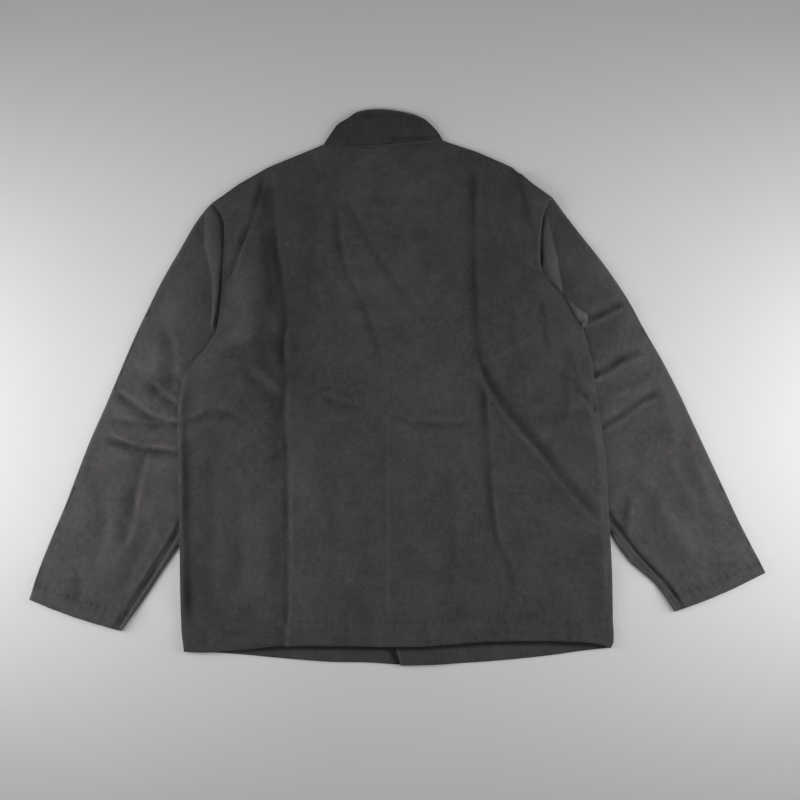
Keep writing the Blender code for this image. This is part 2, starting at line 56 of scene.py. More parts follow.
# Main sizes of the cut pieces, laid flat
BODY_WIDTH = 600.0
BODY_LENGTH = 700.0
FRONT_WIDTH = 330.0
SLEEVE_LENGTH = 640.0
COLLAR_WIDTH = 160.0

# Walls and gaps
CLOTH = 1.7
HEM_WALL = 3.0
COLLAR_WALL = 2.4
SEAM = 0.3
NECK_SEAM = 0.7
FRONT_NECK_SEAM = 1.3
BODY_AIR = 2.2
FRONT_AIR = 0.9
SLEEVE_AIR = 1.8
CUFF_AIR = 0.9
COLLAR_AIR = 1.2
FOLD_RADIUS = 2.5

# Turned edges
HEM_DEPTH = 30.0
CUFF_DEPTH = 22.0
STITCH_STEP = 1.0
HEM_ZONE = -330.0
HEM_ZONE_RAMP = 10.0

# Body outline, from the hem up to the underarm, then up the armhole to the shoulder: x, y
LEFT_SIDE = (
    (-300, -371), (-304, -328), (-305, -227), (-306, -158), (-308, -49), (-305, -11), (-297, 21),
    (-275, 48), (-254, 76),
)
LEFT_ARMHOLE = (
    (-254, 76), (-249, 110), (-246, 143), (-244, 208), (-246, 237), (-260, 261),
)
RIGHT_SIDE = (
    (301, -366), (305, -355), (304, -320), (302, -257), (297, -172), (294, -113), (288, -62), (279, -3),
    (273, 40), (261, 83),
)
RIGHT_ARMHOLE = (
    (261, 83), (247, 103), (232, 130), (212, 152), (202, 171), (203, 212), (206, 241), (217, 268),
)
UNDERARM_AT = 0.64
UNDERARM_FADE = 0.04

# Shoulders and neck, from left to right: x, y
LEFT_SHOULDER = ((-260, 261), (-222, 288), (-181, 311), (-103, 343))
BACK_NECK = ((-103, 343), (-80, 341), (-45, 341), (-11, 343), (16, 345), (40, 347), (65, 348))
RIGHT_SHOULDER = ((65, 348), (111, 333), (162, 311), (189, 288), (217, 268))
FRONT_NECK = (
    (-103, 343), (-98, 318), (-80, 295), (-48, 279), (-15, 275), (14, 279), (40, 294), (58, 318), (65, 348),
)
BACK_NECK_FROM, BACK_NECK_TO = 0.345, 0.60
FRONT_SHOULDER_PART = 0.5
LEFT_FRONT_NECK_END = 0.60
RIGHT_FRONT_NECK_END = 0.40
CORNER_FADE = 0.025
ARMHOLE_STEPS = 9

# Hems and front edges, from left to right or from the hem up: x, y
BACK_HEM = (
    (-300, -371), (-264, -372), (-213, -368), (-151, -363), (4, -363.5), (69, -361), (140, -356.5),
    (210, -356), (274, -359), (301, -366),
)
LEFT_FRONT_HEM = (
    (-300, -371), (-258, -373), (-213, -376), (-172, -380), (-97, -386), (-42, -387), (4, -390), (42, -390),
)
RIGHT_FRONT_HEM = (
    (5, -391), (69, -389), (140, -384.5), (210, -377.5), (257, -371), (301, -366),
)
LEFT_FRONT_EDGE_MIDDLE = ((38, -250), (27, -60), (17, 120))
RIGHT_FRONT_EDGE_MIDDLE = ((-8, -330), (-13, -200), (-15, -20), (-24, 120))

# Where the two fronts overlap: left and right limit, and the ramp beyond them
OVERLAP_LEFT, OVERLAP_RIGHT, OVERLAP_RAMP = -16.0, 44.0, 50.0
OVERLAP_LEAN = -32.0 / 650.0
OVERLAP_FROM_Y = -366.0

# Buttons, with the channel that the fronts bridge over them
BUTTON_THICK = 3.0
BUTTON_ROWS = ((-5, 235), (2, 115), (9, -5), (16, -125), (23, -245))
CHANNEL_HALF, CHANNEL_RAMP = 13.0, 45.0
CHANNEL_TOP, CHANNEL_TOP_END = 250.0, 22.0
CHANNEL_BOTTOM, CHANNEL_BOTTOM_END = -272.0, 45.0

# The sleeves' inner edges under the body, which lift it: x, y
TUCK_LEFT = (
    (-248, 160), (-242, 120), (-236, 84), (-230, 40), (-228, 0), (-231, -59), (-245, -116), (-269, -168),
    (-303, -222), (-343, -277),
)
TUCK_RIGHT = (
    (200, 176), (206, 148), (222, 122), (234, 96), (238, 70), (228, 30), (222, -18), (224, -56),
    (233, -100), (250, -140), (271, -174), (298, -205), (343, -256),
)
TUCK_LIFT = 6.5
TUCK_REACH, TUCK_RAMP = 8.0, 85.0

# Sleeve sections from the armhole to the cuff: outer x, y, then inner x, y
LEFT_SLEEVE = (
    (-260, 261, -247, 68), (-268, 253, -239, 54), (-284, 232, -233, 40), (-304, 198, -229, 23),
    (-330, 153, -229, 4), (-353, 107, -229, -14), (-374, 62, -232, -37), (-393, 17, -237, -68),
    (-412, -28, -247, -104), (-432, -73, -263, -141), (-450, -119, -281, -178), (-467, -164, -302, -216),
    (-486, -209, -330, -258), (-504, -254, -357, -299), (-518, -298, -388, -342),
)
RIGHT_SLEEVE = (
    (218, 268, 254, 71), (228, 256, 244, 56), (241, 239, 234, 40), (261, 213, 229, 21), (291, 175, 226, 1),
    (322, 130, 224, -20), (347, 85, 226, -45), (373, 40, 230, -73), (397, -6, 239, -104),
    (418, -51, 253, -138), (439, -96, 273, -172), (460, -141, 297, -201), (481, -186, 326, -243),
    (503, -229, 364, -277), (519, -260, 391, -315),
)
HEAD_FADE = 0.24
HEAD_LIFT_FADE = 0.14
HEAD_TUCK = 8.0
HEAD_SEAM = 0.38
LEFT_TUCK_FROM, RIGHT_TUCK_FROM = 5 / ARMHOLE_STEPS, 4 / ARMHOLE_STEPS
TUCK_SLIDE = 0.16
CUFF_BOW, CUFF_BOW_FROM = 3.0, 0.9
CUFF_SWELL = 2.2
SLEEVE_SEAM_FROM, SLEEVE_SEAM_TO = 8 / ARMHOLE_STEPS, 0.905
SLEEVE_SEAM_STEP = 0.9
SLEEVE_SEAM_FADE = (0.4, 0.6)
SLEEVE_PUFF = 1.7
PUFF_FADE = (0.1, 0.3)
PUFF_END_TOP, PUFF_END_CUFF = 0.45, 0.90
PUFF_END_FADE = (0.6, 0.85)

# Collar band: fold lines from the neck up, then its upper edges from left to right
COLLAR_LEFT_FOLD = ((-97, 353), (-84, 371), (-71, 379), (-58, 388))
COLLAR_RIGHT_FOLD = ((60, 357), (52, 367), (40, 378))
COLLAR_BACK_TOP = ((-58, 388), (-45, 391), (-23, 392), (-1, 390), (23, 385), (40, 378))
COLLAR_FRONT_TOP = ((-58, 388), (-48, 350), (-15, 323), (20, 348), (40, 378))
COLLAR_OPENING = 0.012
COLLAR_CENTRE = 0.5

# Fine grid steps
FINE_FOLD_ANGLES = (0, 18, 36, 54, 72, 90)
BODY_COLUMN_STEP, BODY_EDGE_STEP = 3.9, 1.5
BODY_EDGE_WINDOWS = ((0.0, 0.026), (0.222, 0.26), (0.47, 0.49), (0.70, 0.735), (0.974, 1.0))
FRONT_EDGE_WINDOWS = ((0.0, 0.02), (0.98, 1.0))
FRONT_COLUMN_STEP = 4.6
BODY_ROW_STEP = 3.6
ARMHOLE_SPLIT = 8
HEM_ROWS = (
    0.0, 0.2, 0.5, 1.0, 1.8, 3, 5, 7, 9, 11, 13, 15, 17, 19, 21, 23, 25, 27, 28.4, 29.2, 30, 30.8, 31.6, 33
)
SLEEVE_ROW_STEP, SLEEVE_HEAD_STEP, SLEEVE_HEAD_WINDOWS = 4.2, 1.6, ((0.0, 0.05),)
CUFF_ROWS = (0.0, 0.2, 0.5, 1.0, 1.8, 5, 9, 13, 17, 19.5, 20.6, 21.3, 22, 22.7, 23.5, 25)
COLLAR_COLUMN_STEP = 3.2
COLLAR_ROW_COUNT = 30
CURVE_STEPS, CUT_POINTS, SPREAD_POINTS = 12, 48, 4001
FAR, TINY, TIE = 50.0, 1e-9, 1e-6

# Edges of single layers: how thin the wall ends, and the groove that a line of stitches pulls
EDGE_LEFT = 0.22
STITCH_GROOVE, STITCH_GROOVE_WIDTH = 0.55, 1.3
PUCKER_HEIGHT, PUCKER_LENGTH, PUCKER_REACH = 0.46, 11.0, 9.0
SECOND_PUCKER = (0.7, 0.63, 1)

# Folds: height at the middle, half width, ridge beside it as a share, then points as x, y
BACK_FOLDS = (
    (-3.4, 9, 0.0, ((-189, 300), (-186, 205), (-178, 134), (-174, 96))),
    (-3.4, 3.0, 0.15, ((-179, 306), (-171, 205), (-160, 134), (-157, 89), (-161, 66), (-158, 6))),
    (-2.2, 8, 0.0, ((-168, 20), (-172, -60), (-170, -230), (-170, -356))),
    (-2.3, 3.2, 0.95, ((-156, 34), (-160, -38), (-156, -93), (-155, -230), (-156, -364))),
    (1.2, 16, 0.0, ((-141, 10), (-137, -66), (-136, -350))),
    (-3.6, 2.4, 0.35, ((-187, 304), (-200, 250), (-212, 217), (-228, 172), (-238, 146))),
    (1.0, 34, 0.0, ((-206, -110), (-210, -220), (-200, -320))),
    (1.0, 26, 0.0, ((220, 170), (222, 110), (226, 40))),
    (0.8, 28, 0.0, ((-100, -220), (-96, -290), (-90, -340))),
    (2.6, 14, 0.0, ((-224, 216), (-215, 150), (-212, 90), (-226, 56))),
    (-1.6, 10, 0.0, ((-182, 88), (-174, 50), (-167, 10))),
    (1.4, 9, 0.0, ((-220, 130), (-206, 96), (-224, 72), (-257, 50), (-282, 22))),
    (-1.6, 8, 0.30, ((-192, 120), (-182, 80), (-168, 44))),
    (-3.0, 3.4, 0.20, ((109, 330), (107, 205), (111, 96), (117, 42), (120, 14))),
    (-3.4, 3.6, 0.70, ((288, -192), (239, -136), (206, -93), (168, -49), (143, -14), (124, 18), (114, 60))),
    (-0.9, 22, 0.0, ((124, 12), (166, -58), (225, -130), (279, -200))),
    (-2.6, 3.2, 0.55, ((118, 24), (121, -11), (127, -93), (136, -200), (157, -250), (168, -296))),
    (1.8, 2.6, 0.0, ((-13, -42), (-12, -180), (-13, -340))),
    (-2.2, 3.0, 0.50, ((-88, 276), (-76, 176), (-42, 104), (-16, 16))),
    (-1.7, 3.4, 0.50, ((-70, 262), (-30, 190), (8, 136), (34, 104))),
    (-2.8, 3.4, 0.60, ((-306, -52), (-280, -42), (-254, -33), (-222, -40))),
    (-2.2, 3.2, 0.60, ((-108, -10), (-75, -24), (-46, -28))),
    (-2.2, 3.0, 0.60, ((-14, -36), (22, -48), (64, -52), (104, -50))),
    (-1.3, 5, 0.60, ((160, -44), (215, -40), (283, -32))),
    (-2.6, 3.0, 0.60, ((280, -36), (266, -16), (246, 2))),
    (2.0, 4, 0.0, ((-212, 36), (-186, 17), (-160, -8))),
    (-2.0, 4, 0.30, ((-216, 22), (-192, 4), (-166, -22))),
    (-1.7, 6, 0.60, ((-196, 78), (-186, 40), (-170, 12))),
    (-1.8, 4, 0.60, ((-178, -104), (-166, -92), (-152, -78))),
    (-2.0, 2.6, 0.50, ((200, 128), (206, 100), (207, 76), (214, 46))),
    (1.8, 4, 0.0, ((112, 30), (150, 50), (192, 72))),
    (-1.0, 6, 0.60, ((-205, 122), (-214, 60), (-206, 6))),
    (1.2, 22, 0.0, ((-232, 120), (-258, 60), (-276, 10))),
    (-1.0, 5, 0.50, ((-262, -90), (-258, -200), (-262, -320))),
    (-1.1, 6, 0.60, ((-224, -120), (-220, -230), (-228, -300))),
    (-1.1, 5, 0.60, ((70, -110), (78, -200), (74, -310))),
    (-0.8, 6, 0.60, ((-84, -120), (-88, -210), (-80, -300))),
    (-1.2, 5, 0.60, ((232, 40), (236, -10), (228, -60))),
    (-1.1, 5, 0.60, ((158, 118), (164, 60), (176, 20))),
    (1.6, 2.2, 0.0, ((-162, 203), (-146, 204.5), (-129, 203))),
    (-1.0, 5, 0.60, ((30, 236), (44, 180), (38, 120))),
    (-0.9, 5, 0.60, ((-112, 250), (-122, 180), (-112, 110))),
    (-1.4, 4, 0.50, ((232, 66), (246, 30), (252, -20))),
    (-3.0, 3.0, 0.3, (
        (-289, -352), (-294, -320), (-295, -227), (-296, -158), (-297, -49), (-294, -11), (-284, 24),
    )),
    (1.7, 2.6, 0.0, ((205, 244), (198.5, 212), (197.5, 180), (201, 166))),
    (2.3, 6, 0.0, (
        (288, -350), (293, -320), (292, -257), (287, -172), (284, -113), (278, -62), (268, 0), (264, 40),
    )),
    (-1.6, 3, 0.60, ((152, -326), (156, -344), (157, -357))),
    (-1.8, 3, 0.60, ((240, -326), (243, -344), (242, -358))),
    (-1.4, 3, 0.60, ((254, -328), (256, -345), (255, -360))),
    (1.8, 4, 0.0, ((-153, -326), (-152, -350), (-153, -368))),
    (-1.8, 3, 0.50, ((-164, -332), (-161, -350), (-161, -368))),
    (-1.0, 4, 0.60, ((-70, -336), (-68, -348), (-70, -364))),
    (-1.0, 4, 0.60, ((40, -334), (42, -346), (40, -362))),
    (-1.4, 4, 0.60, ((-270, -334), (-268, -350), (-272, -368))),
    (-1.6, 2.6, 0.3, ((-14, 340), (16, 342), (44, 344), (66, 345))),
)
SLEEVE_LEFT_FOLDS = (
    (-3.2, 3.2, 0.8, ((-397, -4), (-370, -24), (-340, -45), (-296, -54))),
    (-2.4, 3.2, 0.7, ((-404, -44), (-370, -50), (-330, -56))),
    (-3.4, 3.0, 0.9, ((-414, -68), (-370, -83), (-340, -88), (-296, -94))),
    (-2.4, 4.5, 0.7, ((-354, -86), (-370, -151), (-378, -193), (-390, -230))),
    (-1.6, 6, 0.6, ((-330, 100), (-318, 40), (-322, -12))),
    (-2.6, 3.6, 0.6, ((-348, 6), (-322, -18), (-300, -32))),
    (-1.3, 7, 0.6, ((-376, 24), (-340, 10), (-298, 14))),
    (1.2, 16, 0.0, ((-300, 150), (-330, 60), (-352, 0))),
    (-1.1, 6, 0.6, ((-430, -120), (-412, -190), (-430, -250))),
    (-1.1, 6, 0.6, ((-344, -180), (-366, -236), (-392, -292))),
    (-1.4, 4, 0.6, ((-452, -258), (-446, -282), (-451, -310))),
    (-3.0, 1.5, 0.8, ((-300, -192), (-330, -240), (-360, -288), (-396, -344))),
)
SLEEVE_RIGHT_FOLDS = (
    (-3.0, 2.6, 0.8, ((322, 119), (304, 112), (284, 101), (252, 90))),
    (-3.4, 2.8, 0.8, ((348, 52), (318, 40), (296, 26), (262, 10))),
    (-2.8, 2.6, 0.8, ((374, -8), (346, -18), (318, -38), (276, -64))),
    (-2.2, 4, 0.6, ((326, -150), (321, -175), (318, -204))),
    (-1.2, 6, 0.6, ((352, 20), (372, -30), (384, -90))),
    (-1.2, 4, 0.6, ((360, 24), (330, 6), (292, -6))),
    (-1.2, 7, 0.6, ((286, 160), (300, 130), (328, 100))),
    (1.2, 16, 0.0, ((276, 190), (310, 130), (340, 80))),
    (-1.2, 6, 0.6, ((400, -60), (420, -130), (446, -190))),
    (-1.2, 7, 0.6, ((340, -130), (372, -190), (412, -250))),
    (-1.1, 6, 0.6, ((372, -100), (398, -150), (412, -184))),
    (-3.0, 1.5, 0.5, ((404, -308), (370, -268), (335, -228), (294, -180))),
)
FRONT_FOLDS = (
    (0.8, 9, 0.0, ((-170, 200), (-164, 60), (-172, -80))),
    (0.6, 8, 0.0, ((-230, -60), (-180, -90), (-120, -84))),
    (0.7, 10, 0.0, ((-110, -140), (-118, -240), (-112, -350))),
    (0.6, 9, 0.0, ((-240, -180), (-246, -260), (-240, -340))),
    (0.8, 9, 0.0, ((128, 190), (136, 60), (126, -40))),
    (0.6, 9, 0.0, ((232, -30), (190, -80), (140, -100))),
    (0.7, 9, 0.0, ((110, -160), (116, -250), (108, -350))),
    (0.6, 8, 0.0, ((214, -150), (220, -240), (214, -340))),
)
SLEEVE_UNDER_FOLDS = (
    (0.7, 8, 0.0, ((-300, 110), (-340, 20), (-360, -60))),
    (0.6, 7, 0.0, ((-420, -60), (-380, -90), (-340, -96))),
    (0.6, 8, 0.0, ((-400, -150), (-430, -220), (-450, -290))),
    (0.7, 8, 0.0, ((300, 130), (330, 40), (350, -40))),
    (0.6, 7, 0.0, ((300, -50), (340, -30), (380, -20))),
    (0.6, 8, 0.0, ((400, -120), (430, -180), (450, -240))),
)

# Broad painted light and shade on the back: how much lighter or darker, how far it reaches, and the points it
# follows
BACK_PAINTED_LIGHT = (
    (-0.2, 58, ((-120, 262), (-142, 70), (-150, -20))),
    (-0.18, 50, ((125, 150), (130, 40), (155, -60))),
    (0.15, 42, ((-205, -195), (-200, -270), (-150, -315))),
    (-0.2, 22, ((-270, -60), (-275, -160), (-273, -290))),
    (-0.13, 30, ((-208, 45), (-208, -10))),
    (-0.06, 70, ((10, 250), (90, 240))),
    (0.26, 14, ((-226, 136), (-216, 104), (-222, 66))),
    (-0.2, 11, ((-180, 212), (-172, 128))),
    (-0.2, 20, ((-152, 150), (-148, 14))),
    (-0.12, 30, ((150, 74), (150, -20))),
    (-0.2, 9, ((-291, -80), (-293, -200), (-289, -330))),
    (-0.12, 22, ((268, -190), (273, -290))),
    (0.12, 18, ((-150, -260), (-130, -310))),
)
COLLAR_FOLDS = (
    (-0.5, 3, 0.6, ((-62, 352), (-58, 366), (-52, 380))),
    (-0.4, 4, 0.6, ((20, 352), (26, 364), (24, 378))),
    (0.5, 5, 0.0, ((-30, 362), (10, 364), (40, 362))),
    (-1.3, 3.4, 0.0, ((66, 357), (46, 354.5), (22, 353), (-14, 352))),
)
FOLD_TAPER, FOLD_REACH, FOLD_STEPS = 0.14, 9, 5
FOLD_UNEVEN, FOLD_UNEVEN_TURNS, FOLD_UNEVEN_STEP = 0.3, 2.3, 0.37
RIDGE_AT, RIDGE_WIDTH, FAR_RIDGE = 2.1, 1.1, 0.35
LAZY_SIDE = 0.42

# Raised folds beside the armholes: height, rise per mm along x and y, ramp, then the outline
LEFT_PADS = (
    (
        1.9,
        (-0.13, -0.014),
        2.4,
        ((-263, 262), (-250, 237), (-247, 208), (-249, 143), (-253, 110), (-259, 82), (-263, 88), (-260, 110),
         (-260, 143), (-264, 172), (-271, 200), (-272, 244)),
    ),
)
RIGHT_PADS = (
    (
        1.7,
        (0.09, 0.0),
        2.2,
        (
            (207, 246), (201, 212), (200, 171), (210, 151), (233, 126),
            (233, 134), (227, 179), (220, 208), (210, 245),
        ),
    ),
    (2.4, (0.08, 0.03), 2.2, ((234, 131), (269, 103), (269, 94), (261, 82), (245, 101), (230, 128))),
)

# Slits between the back and the sleeves: half width, then the line
SLIT_DEPTH, SLIT_END = 2.6, 0.2
SLIT_LINES = (
    (2.3, ((-244, 172), (-245.5, 140), (-248.5, 108), (-253, 80))),
    (1.7, ((-260, 262), (-247, 240), (-243.5, 208), (-244.5, 143), (-248, 108), (-254, 77))),
    (1.2, ((207, 246), (203, 212), (202, 171))),
    (1.5, ((212, 152), (232, 130), (247, 103), (261, 83))),
)

# Uneven cloth: wavelength, height and seed of each layer of ripples
RIPPLES = ((60.0, 0.55, 5), (30.0, 0.38, 3), (13.0, 0.15, 8))
RIPPLE_WAVES, RIPPLE_SPREAD = 26, (0.7, 1.7)

# Painted light and wear: how much lighter edges and ridges are, as painted highlight and wear, and how much
# darker the troughs, as painted shade
EDGE_HIGHLIGHT_AND_WEAR, EDGE_HIGHLIGHT_AND_WEAR_WIDTH = 0.75, 3.6
RIDGE_HIGHLIGHT_AND_WEAR, TROUGH_SHADE, FOLD_PAINTED_LIGHT_LIMIT = 0.16, 0.15, 5.0
# Painted highlight on the raised pads, and painted shade in the slits
PAD_HIGHLIGHT, SLIT_SHADE = 0.40, 0.32
# Painted shade near the sleeves' heads, along the sleeve seam and in stitch grooves, and the share of painted
# light and shade on sleeve folds
HEAD_SHADE, HEAD_SHADE_WIDTH = 0.42, 62.0
SLEEVE_SEAM_SHADE, SLEEVE_SEAM_WIDTH = 0.55, 2.6
STITCH_SHADE = 0.3
SLEEVE_FOLD_PAINTED_LIGHT = 1.35
DEEPEST_SHARE = 0.9
# Painted shadows: along the back's hem edge, under the back's hem on the fronts, and in the notch beside the
# right front's edge
HEM_SHADE, HEM_SHADE_WIDTH = 0.3, 3.0
UNDER_HEM_SHADE, UNDER_HEM_AT, UNDER_HEM_WIDTH, UNDER_HEM_FROM = 2.4, 1.0, 4.2, (-292.0, -100.0)
WEDGE_SHADE, WEDGE_WIDTH, WEDGE_LINE = 1.2, 4.5, ((-10, -360), (-6, -372), (3, -390))

# The back stands a little proud of the fronts: height, and how far in from each edge it is reached
BALLOON, BALLOON_REACH = 2.2, 55.0
SLEEVE_LOFT, LOFT_REACH = 2.0, 32.0

# Limits of the folds in the layers below, and the collar's share of the ripples
FRONT_LIFT_LIMIT, SLEEVE_LIFT_LIMIT, COLLAR_RIPPLE_SHARE = 1.2, 0.9, 0.5

# Thread: length and spacing of a stitch, its radius, and its distance from the edges
STITCH_LENGTH, STITCH_PITCH, STITCH_RADIUS = 2.5, 3.3, 0.34
STITCH_SIDES, UNDER_STITCH_SINK = 6, 0.45
COLLAR_STITCH_FROM_TOP = 6.0
FRONT_STITCH_FROM_EDGE = 28.0
STITCH_RINGS = (
    (-1.0, 0.45, -0.30), (-0.6, 1.0, 0.10), (0.0, 1.0, 0.24), (0.6, 1.0, 0.10), (1.0, 0.45, -0.30),
)

# Buttons: profile from the middle of the face to the middle of the back, as radius and height
BUTTON_PROFILE = (
    (0.6, 0.9), (4.6, 0.8), (5.6, 0.5), (6.4, 0.1), (8.6, 0.05), (9.5, 0.3), (10.0, 1.1), (10.0, 1.9),
    (9.6, 2.6), (8.6, 3.0), (3.0, 3.0), (0.6, 3.0),
)
BUTTON_ROUND_SIDES = 48
BUTTON_HOLE_AT, BUTTON_HOLE_RADIUS, BUTTON_HOLE_SIDES = 1.5, 0.75, 16
BUTTON_SHARP_ANGLE = 40.0
BUTTON_BAR_Z, BAR_RADIUS, BAR_SIDES = 0.55, 0.42, 8
BAR_RINGS = (
    (-0.05, 0.5, 0.9), (0.05, 1.0, 0.3), (0.3, 1.0, 0.0), (0.7, 1.0, 0.0), (0.95, 1.0, 0.3), (1.05, 0.5, 0.9),
)

# Materials: colours are linear; a scale is in cells per metre
# The cloth's coordinates, and the attribute of wear with painted light and shade
CLOTH_UV, PAINTED_LIGHT_AND_WEAR = "cloth", "painted_light_and_wear"
BODY_SHADES = ((0.0710, 0.0650, 0.0630), (0.0600, 0.0635, 0.0655))
SLEEVE_SHADES = ((0.0890, 0.0815, 0.0792), (0.0810, 0.0785, 0.0775))
COLLAR_SHADES = ((0.0480, 0.0458, 0.0458), (0.0445, 0.0447, 0.0455))
NOISE_LOW, NOISE_HIGH, SHADE_ROUGH, FINE_DETAIL = 0.3, 0.7, 0.55, 3.0
CLOTH_SHADES = (
    (5.0, 0.11, 2.0, (1, 1, 1)),
    (30.0, 0.12, 3.0, (1, 0.9, 1)),
    (130.0, 0.12, 3.0, (1, 0.8, 1)),
    (380.0, 0.13, 3.0, (1, 0.85, 1)),
    (900.0, 0.07, 2.0, (1, 0.7, 1)),
)
# Painted shade of fine creases: scale, line width and depth, then the patches they lie in
CRINKLES = ((75.0, 0.05, 0.14), (150.0, 0.05, 0.12))
CRINKLE_PATCHES = (14.0, 0.45, 0.62)
HUE_SCALE = 5.0
# Range of the brightness factor from the wear with painted light and shade
PAINTED_LIGHT_AND_WEAR_DEPTH = 0.65
CLOTH_ROUGH = (0.88, 0.98)
CLOTH_SPECULAR, CLOTH_SHEEN, CLOTH_SHEEN_ROUGH = 0.22, 0.22, 0.45
SHEEN_TINT = (0.75, 0.75, 0.78)
WAVE_TURN = 2 * math.pi / 20 / MM
YARNS = ((1.25, 0.10, 0), (1.25, 0.10, 90))
YARN_WANDER, YARN_DETAIL = 3.0, {"Detail": 1.0, "Detail Scale": 0.3}
NAPS = ((1900.0, 0.10, (1, 0.5, 1)), (420.0, 0.22, (1, 0.6, 1)), (110.0, 0.35, (1, 0.8, 1)))
THREAD_COLOUR, THREAD_SHADE, THREAD_SHEEN = (0.046, 0.045, 0.046), (0.75, 1.25), 0.05
THREAD_SCALE, THREAD_BUMP, THREAD_ROUGH = 2500.0, 0.05, 0.8
BUTTON_COLOUR, BUTTON_CLOUDS = (0.016, 0.015, 0.015), (160.0, 0.35)
BUTTON_GRAIN, BUTTON_BUMP, BUTTON_ROUGH = 900.0, 0.02, (0.3, 0.5)
FLOOR_COLOUR, FLOOR_SHADES = (0.80, 0.805, 0.80), ((3.0, 0.012), (700.0, 0.015))
FLOOR_ROUGH, FLOOR_SPECULAR = 0.85, 0.15

# Stage: metres, except the photograph's centre and width in millimetres
FLOOR_SIZE, FLOOR_Z = 14.0, -0.0002
CAMERA_LENS, CAMERA_SENSOR, CAMERA_FAR = 50.0, 36.0, 20.0
CAMERA_AIM, PHOTO_WIDTH = (4.2, -16.9), 1129.6

# Lights: name, place, aim, size and power
LIGHTS = (
    ("left_softbox", (-0.8, -0.06, 0.52), (0.0, -0.06, 0.0), (0.5, 0.8), 4.6),
    ("right_softbox", (0.8, -0.06, 0.52), (0.0, -0.06, 0.0), (0.5, 0.8), 4.6),
    ("top_softbox", (0.0, -0.2, 1.8), (0.0, -0.2, 0.0), (1.6, 0.3), 6.0),
)
WORLD_COLOUR, WORLD_STRENGTH = (0.95, 0.98, 1.0), 0.02


def smooth(value):
    value = np.clip(value, 0.0, 1.0)
    return value * value * (3 - 2 * value)


def bell(value, width):
    return np.exp(-((value / width) ** 2))


def between(value, limits):
    """Rises smoothly from 0 to 1 between two limits."""
    return smooth((value - limits[0]) / (limits[1] - limits[0]))


def rounded(rows, steps=CURVE_STEPS):
    """Points on a Catmull-Rom curve through the rows."""
    points = np.array(rows, float)
    padded = np.vstack([2 * points[0] - points[1], points, 2 * points[-1] - points[-2]])
    found = []
    for a, b, c, d in zip(padded, padded[1:], padded[2:], padded[3:]):
        for t in np.arange(steps) / steps:
            bend = (2 * a - 5 * b + 4 * c - d) * t**2 + (3 * b - a - 3 * c + d) * t**3
            found.append(b + 0.5 * ((c - a) * t + bend))
    return np.array(found + [points[-1]])


def path(*parts, knots=(0.0, 1.0)):
    """One line from parts laid end to end, each measured by its length between two knots."""
    places, points = [], []
    for part, start, end in zip(parts, knots, knots[1:]):
        length = np.cumsum(np.hypot(*np.diff(part, axis=0, prepend=part[:1]).T))
        places.append(start + (end - start) * length / length[-1])
        points.append(part)
    return np.concatenate(places), np.vstack(points)


def at(line, t):
    places, points = line
    return np.stack([np.interp(t, places, points[:, k]) for k in (0, 1)], axis=-1)


def distance_between(start, end):
    return np.hypot(*np.moveaxis(end - start, -1, 0))


def cut(line, start, end):
    return at(line, np.linspace(start, end, CUT_POINTS))


def offset(points, distance):
    """The line moved to its left-hand side."""
    along = np.gradient(points, axis=0)
    along /= np.hypot(*along.T)[:, None]
    return points + distance * np.stack([-along[:, 1], along[:, 0]], axis=-1)


def patch(bottom, top, left, right, u, v):
    """A Coons patch between four lines that meet at their ends."""
    u, v = u[..., None], v[..., None]
    u0, v0 = u[..., 0], v[..., 0]
    across = (1 - v) * at(bottom, u0) + v * at(top, u0)
    along = (1 - u) * at(left, v0) + u * at(right, v0)
    low = (1 - u) * at(bottom, 0.0) + u * at(bottom, 1.0)
    high = (1 - u) * at(top, 0.0) + u * at(top, 1.0)
    return across + along - (1 - v) * low - v * high


def nearest(x, y, rows):
    """Distance to the line through the rows, the side of it, and how far along it."""
    best = np.full(np.shape(x), np.inf)
    side, place = np.ones(np.shape(x)), np.zeros(np.shape(x))
    points = np.array(rows, float)
    lengths = np.hypot(*np.diff(points, axis=0).T)
    starts = np.concatenate([[0], np.cumsum(lengths)])
    for (ax, ay), (bx, by), start, length in zip(points, points[1:], starts, lengths):
        dx, dy = bx - ax, by - ay
        t = np.clip(((x - ax) * dx + (y - ay) * dy) / (length * length), 0, 1)
        gap = np.hypot(x - ax - t * dx, y - ay - t * dy)
        turn = np.sign(dx * (y - ay) - dy * (x - ax))
        closer = gap < best - TIE
        side = np.where(closer, turn, side)
        place = np.where(closer, (start + t * length) / starts[-1], place)
        best = np.minimum(best, gap)
    return best, side, place


def fold_height(x, y, rows):
    """Troughs and ridges along lines, uneven and fading at their ends."""
    height = np.zeros(np.shape(x))
    for number, (middle, half_width, ridge, line) in enumerate(rows):
        points = rounded(line, FOLD_STEPS)
        reach = FOLD_REACH * half_width
        low, high = points.min(0) - reach, points.max(0) + reach
        near = (x > low[0]) & (x < high[0]) & (y > low[1]) & (y < high[1])
        if not near.any():
            continue
        gap, side, place = nearest(x[near], y[near], points)
        signed = gap * side / half_width
        if ridge:
            signed = np.where(signed < 0, LAZY_SIDE * signed, signed)
        ends = smooth(place / FOLD_TAPER) * smooth((1 - place) / FOLD_TAPER)
        turns = 2 * np.pi * (place * FOLD_UNEVEN_TURNS + FOLD_UNEVEN_STEP * number)
        ridges = [bell(signed - at_side, RIDGE_WIDTH) for at_side in (RIDGE_AT, -RIDGE_AT)]
        shape = bell(signed, 1) - ridge * (ridges[0] + FAR_RIDGE * ridges[1])
        height[near] += middle * shape * ends * (1 + FOLD_UNEVEN * np.sin(turns))
    return height


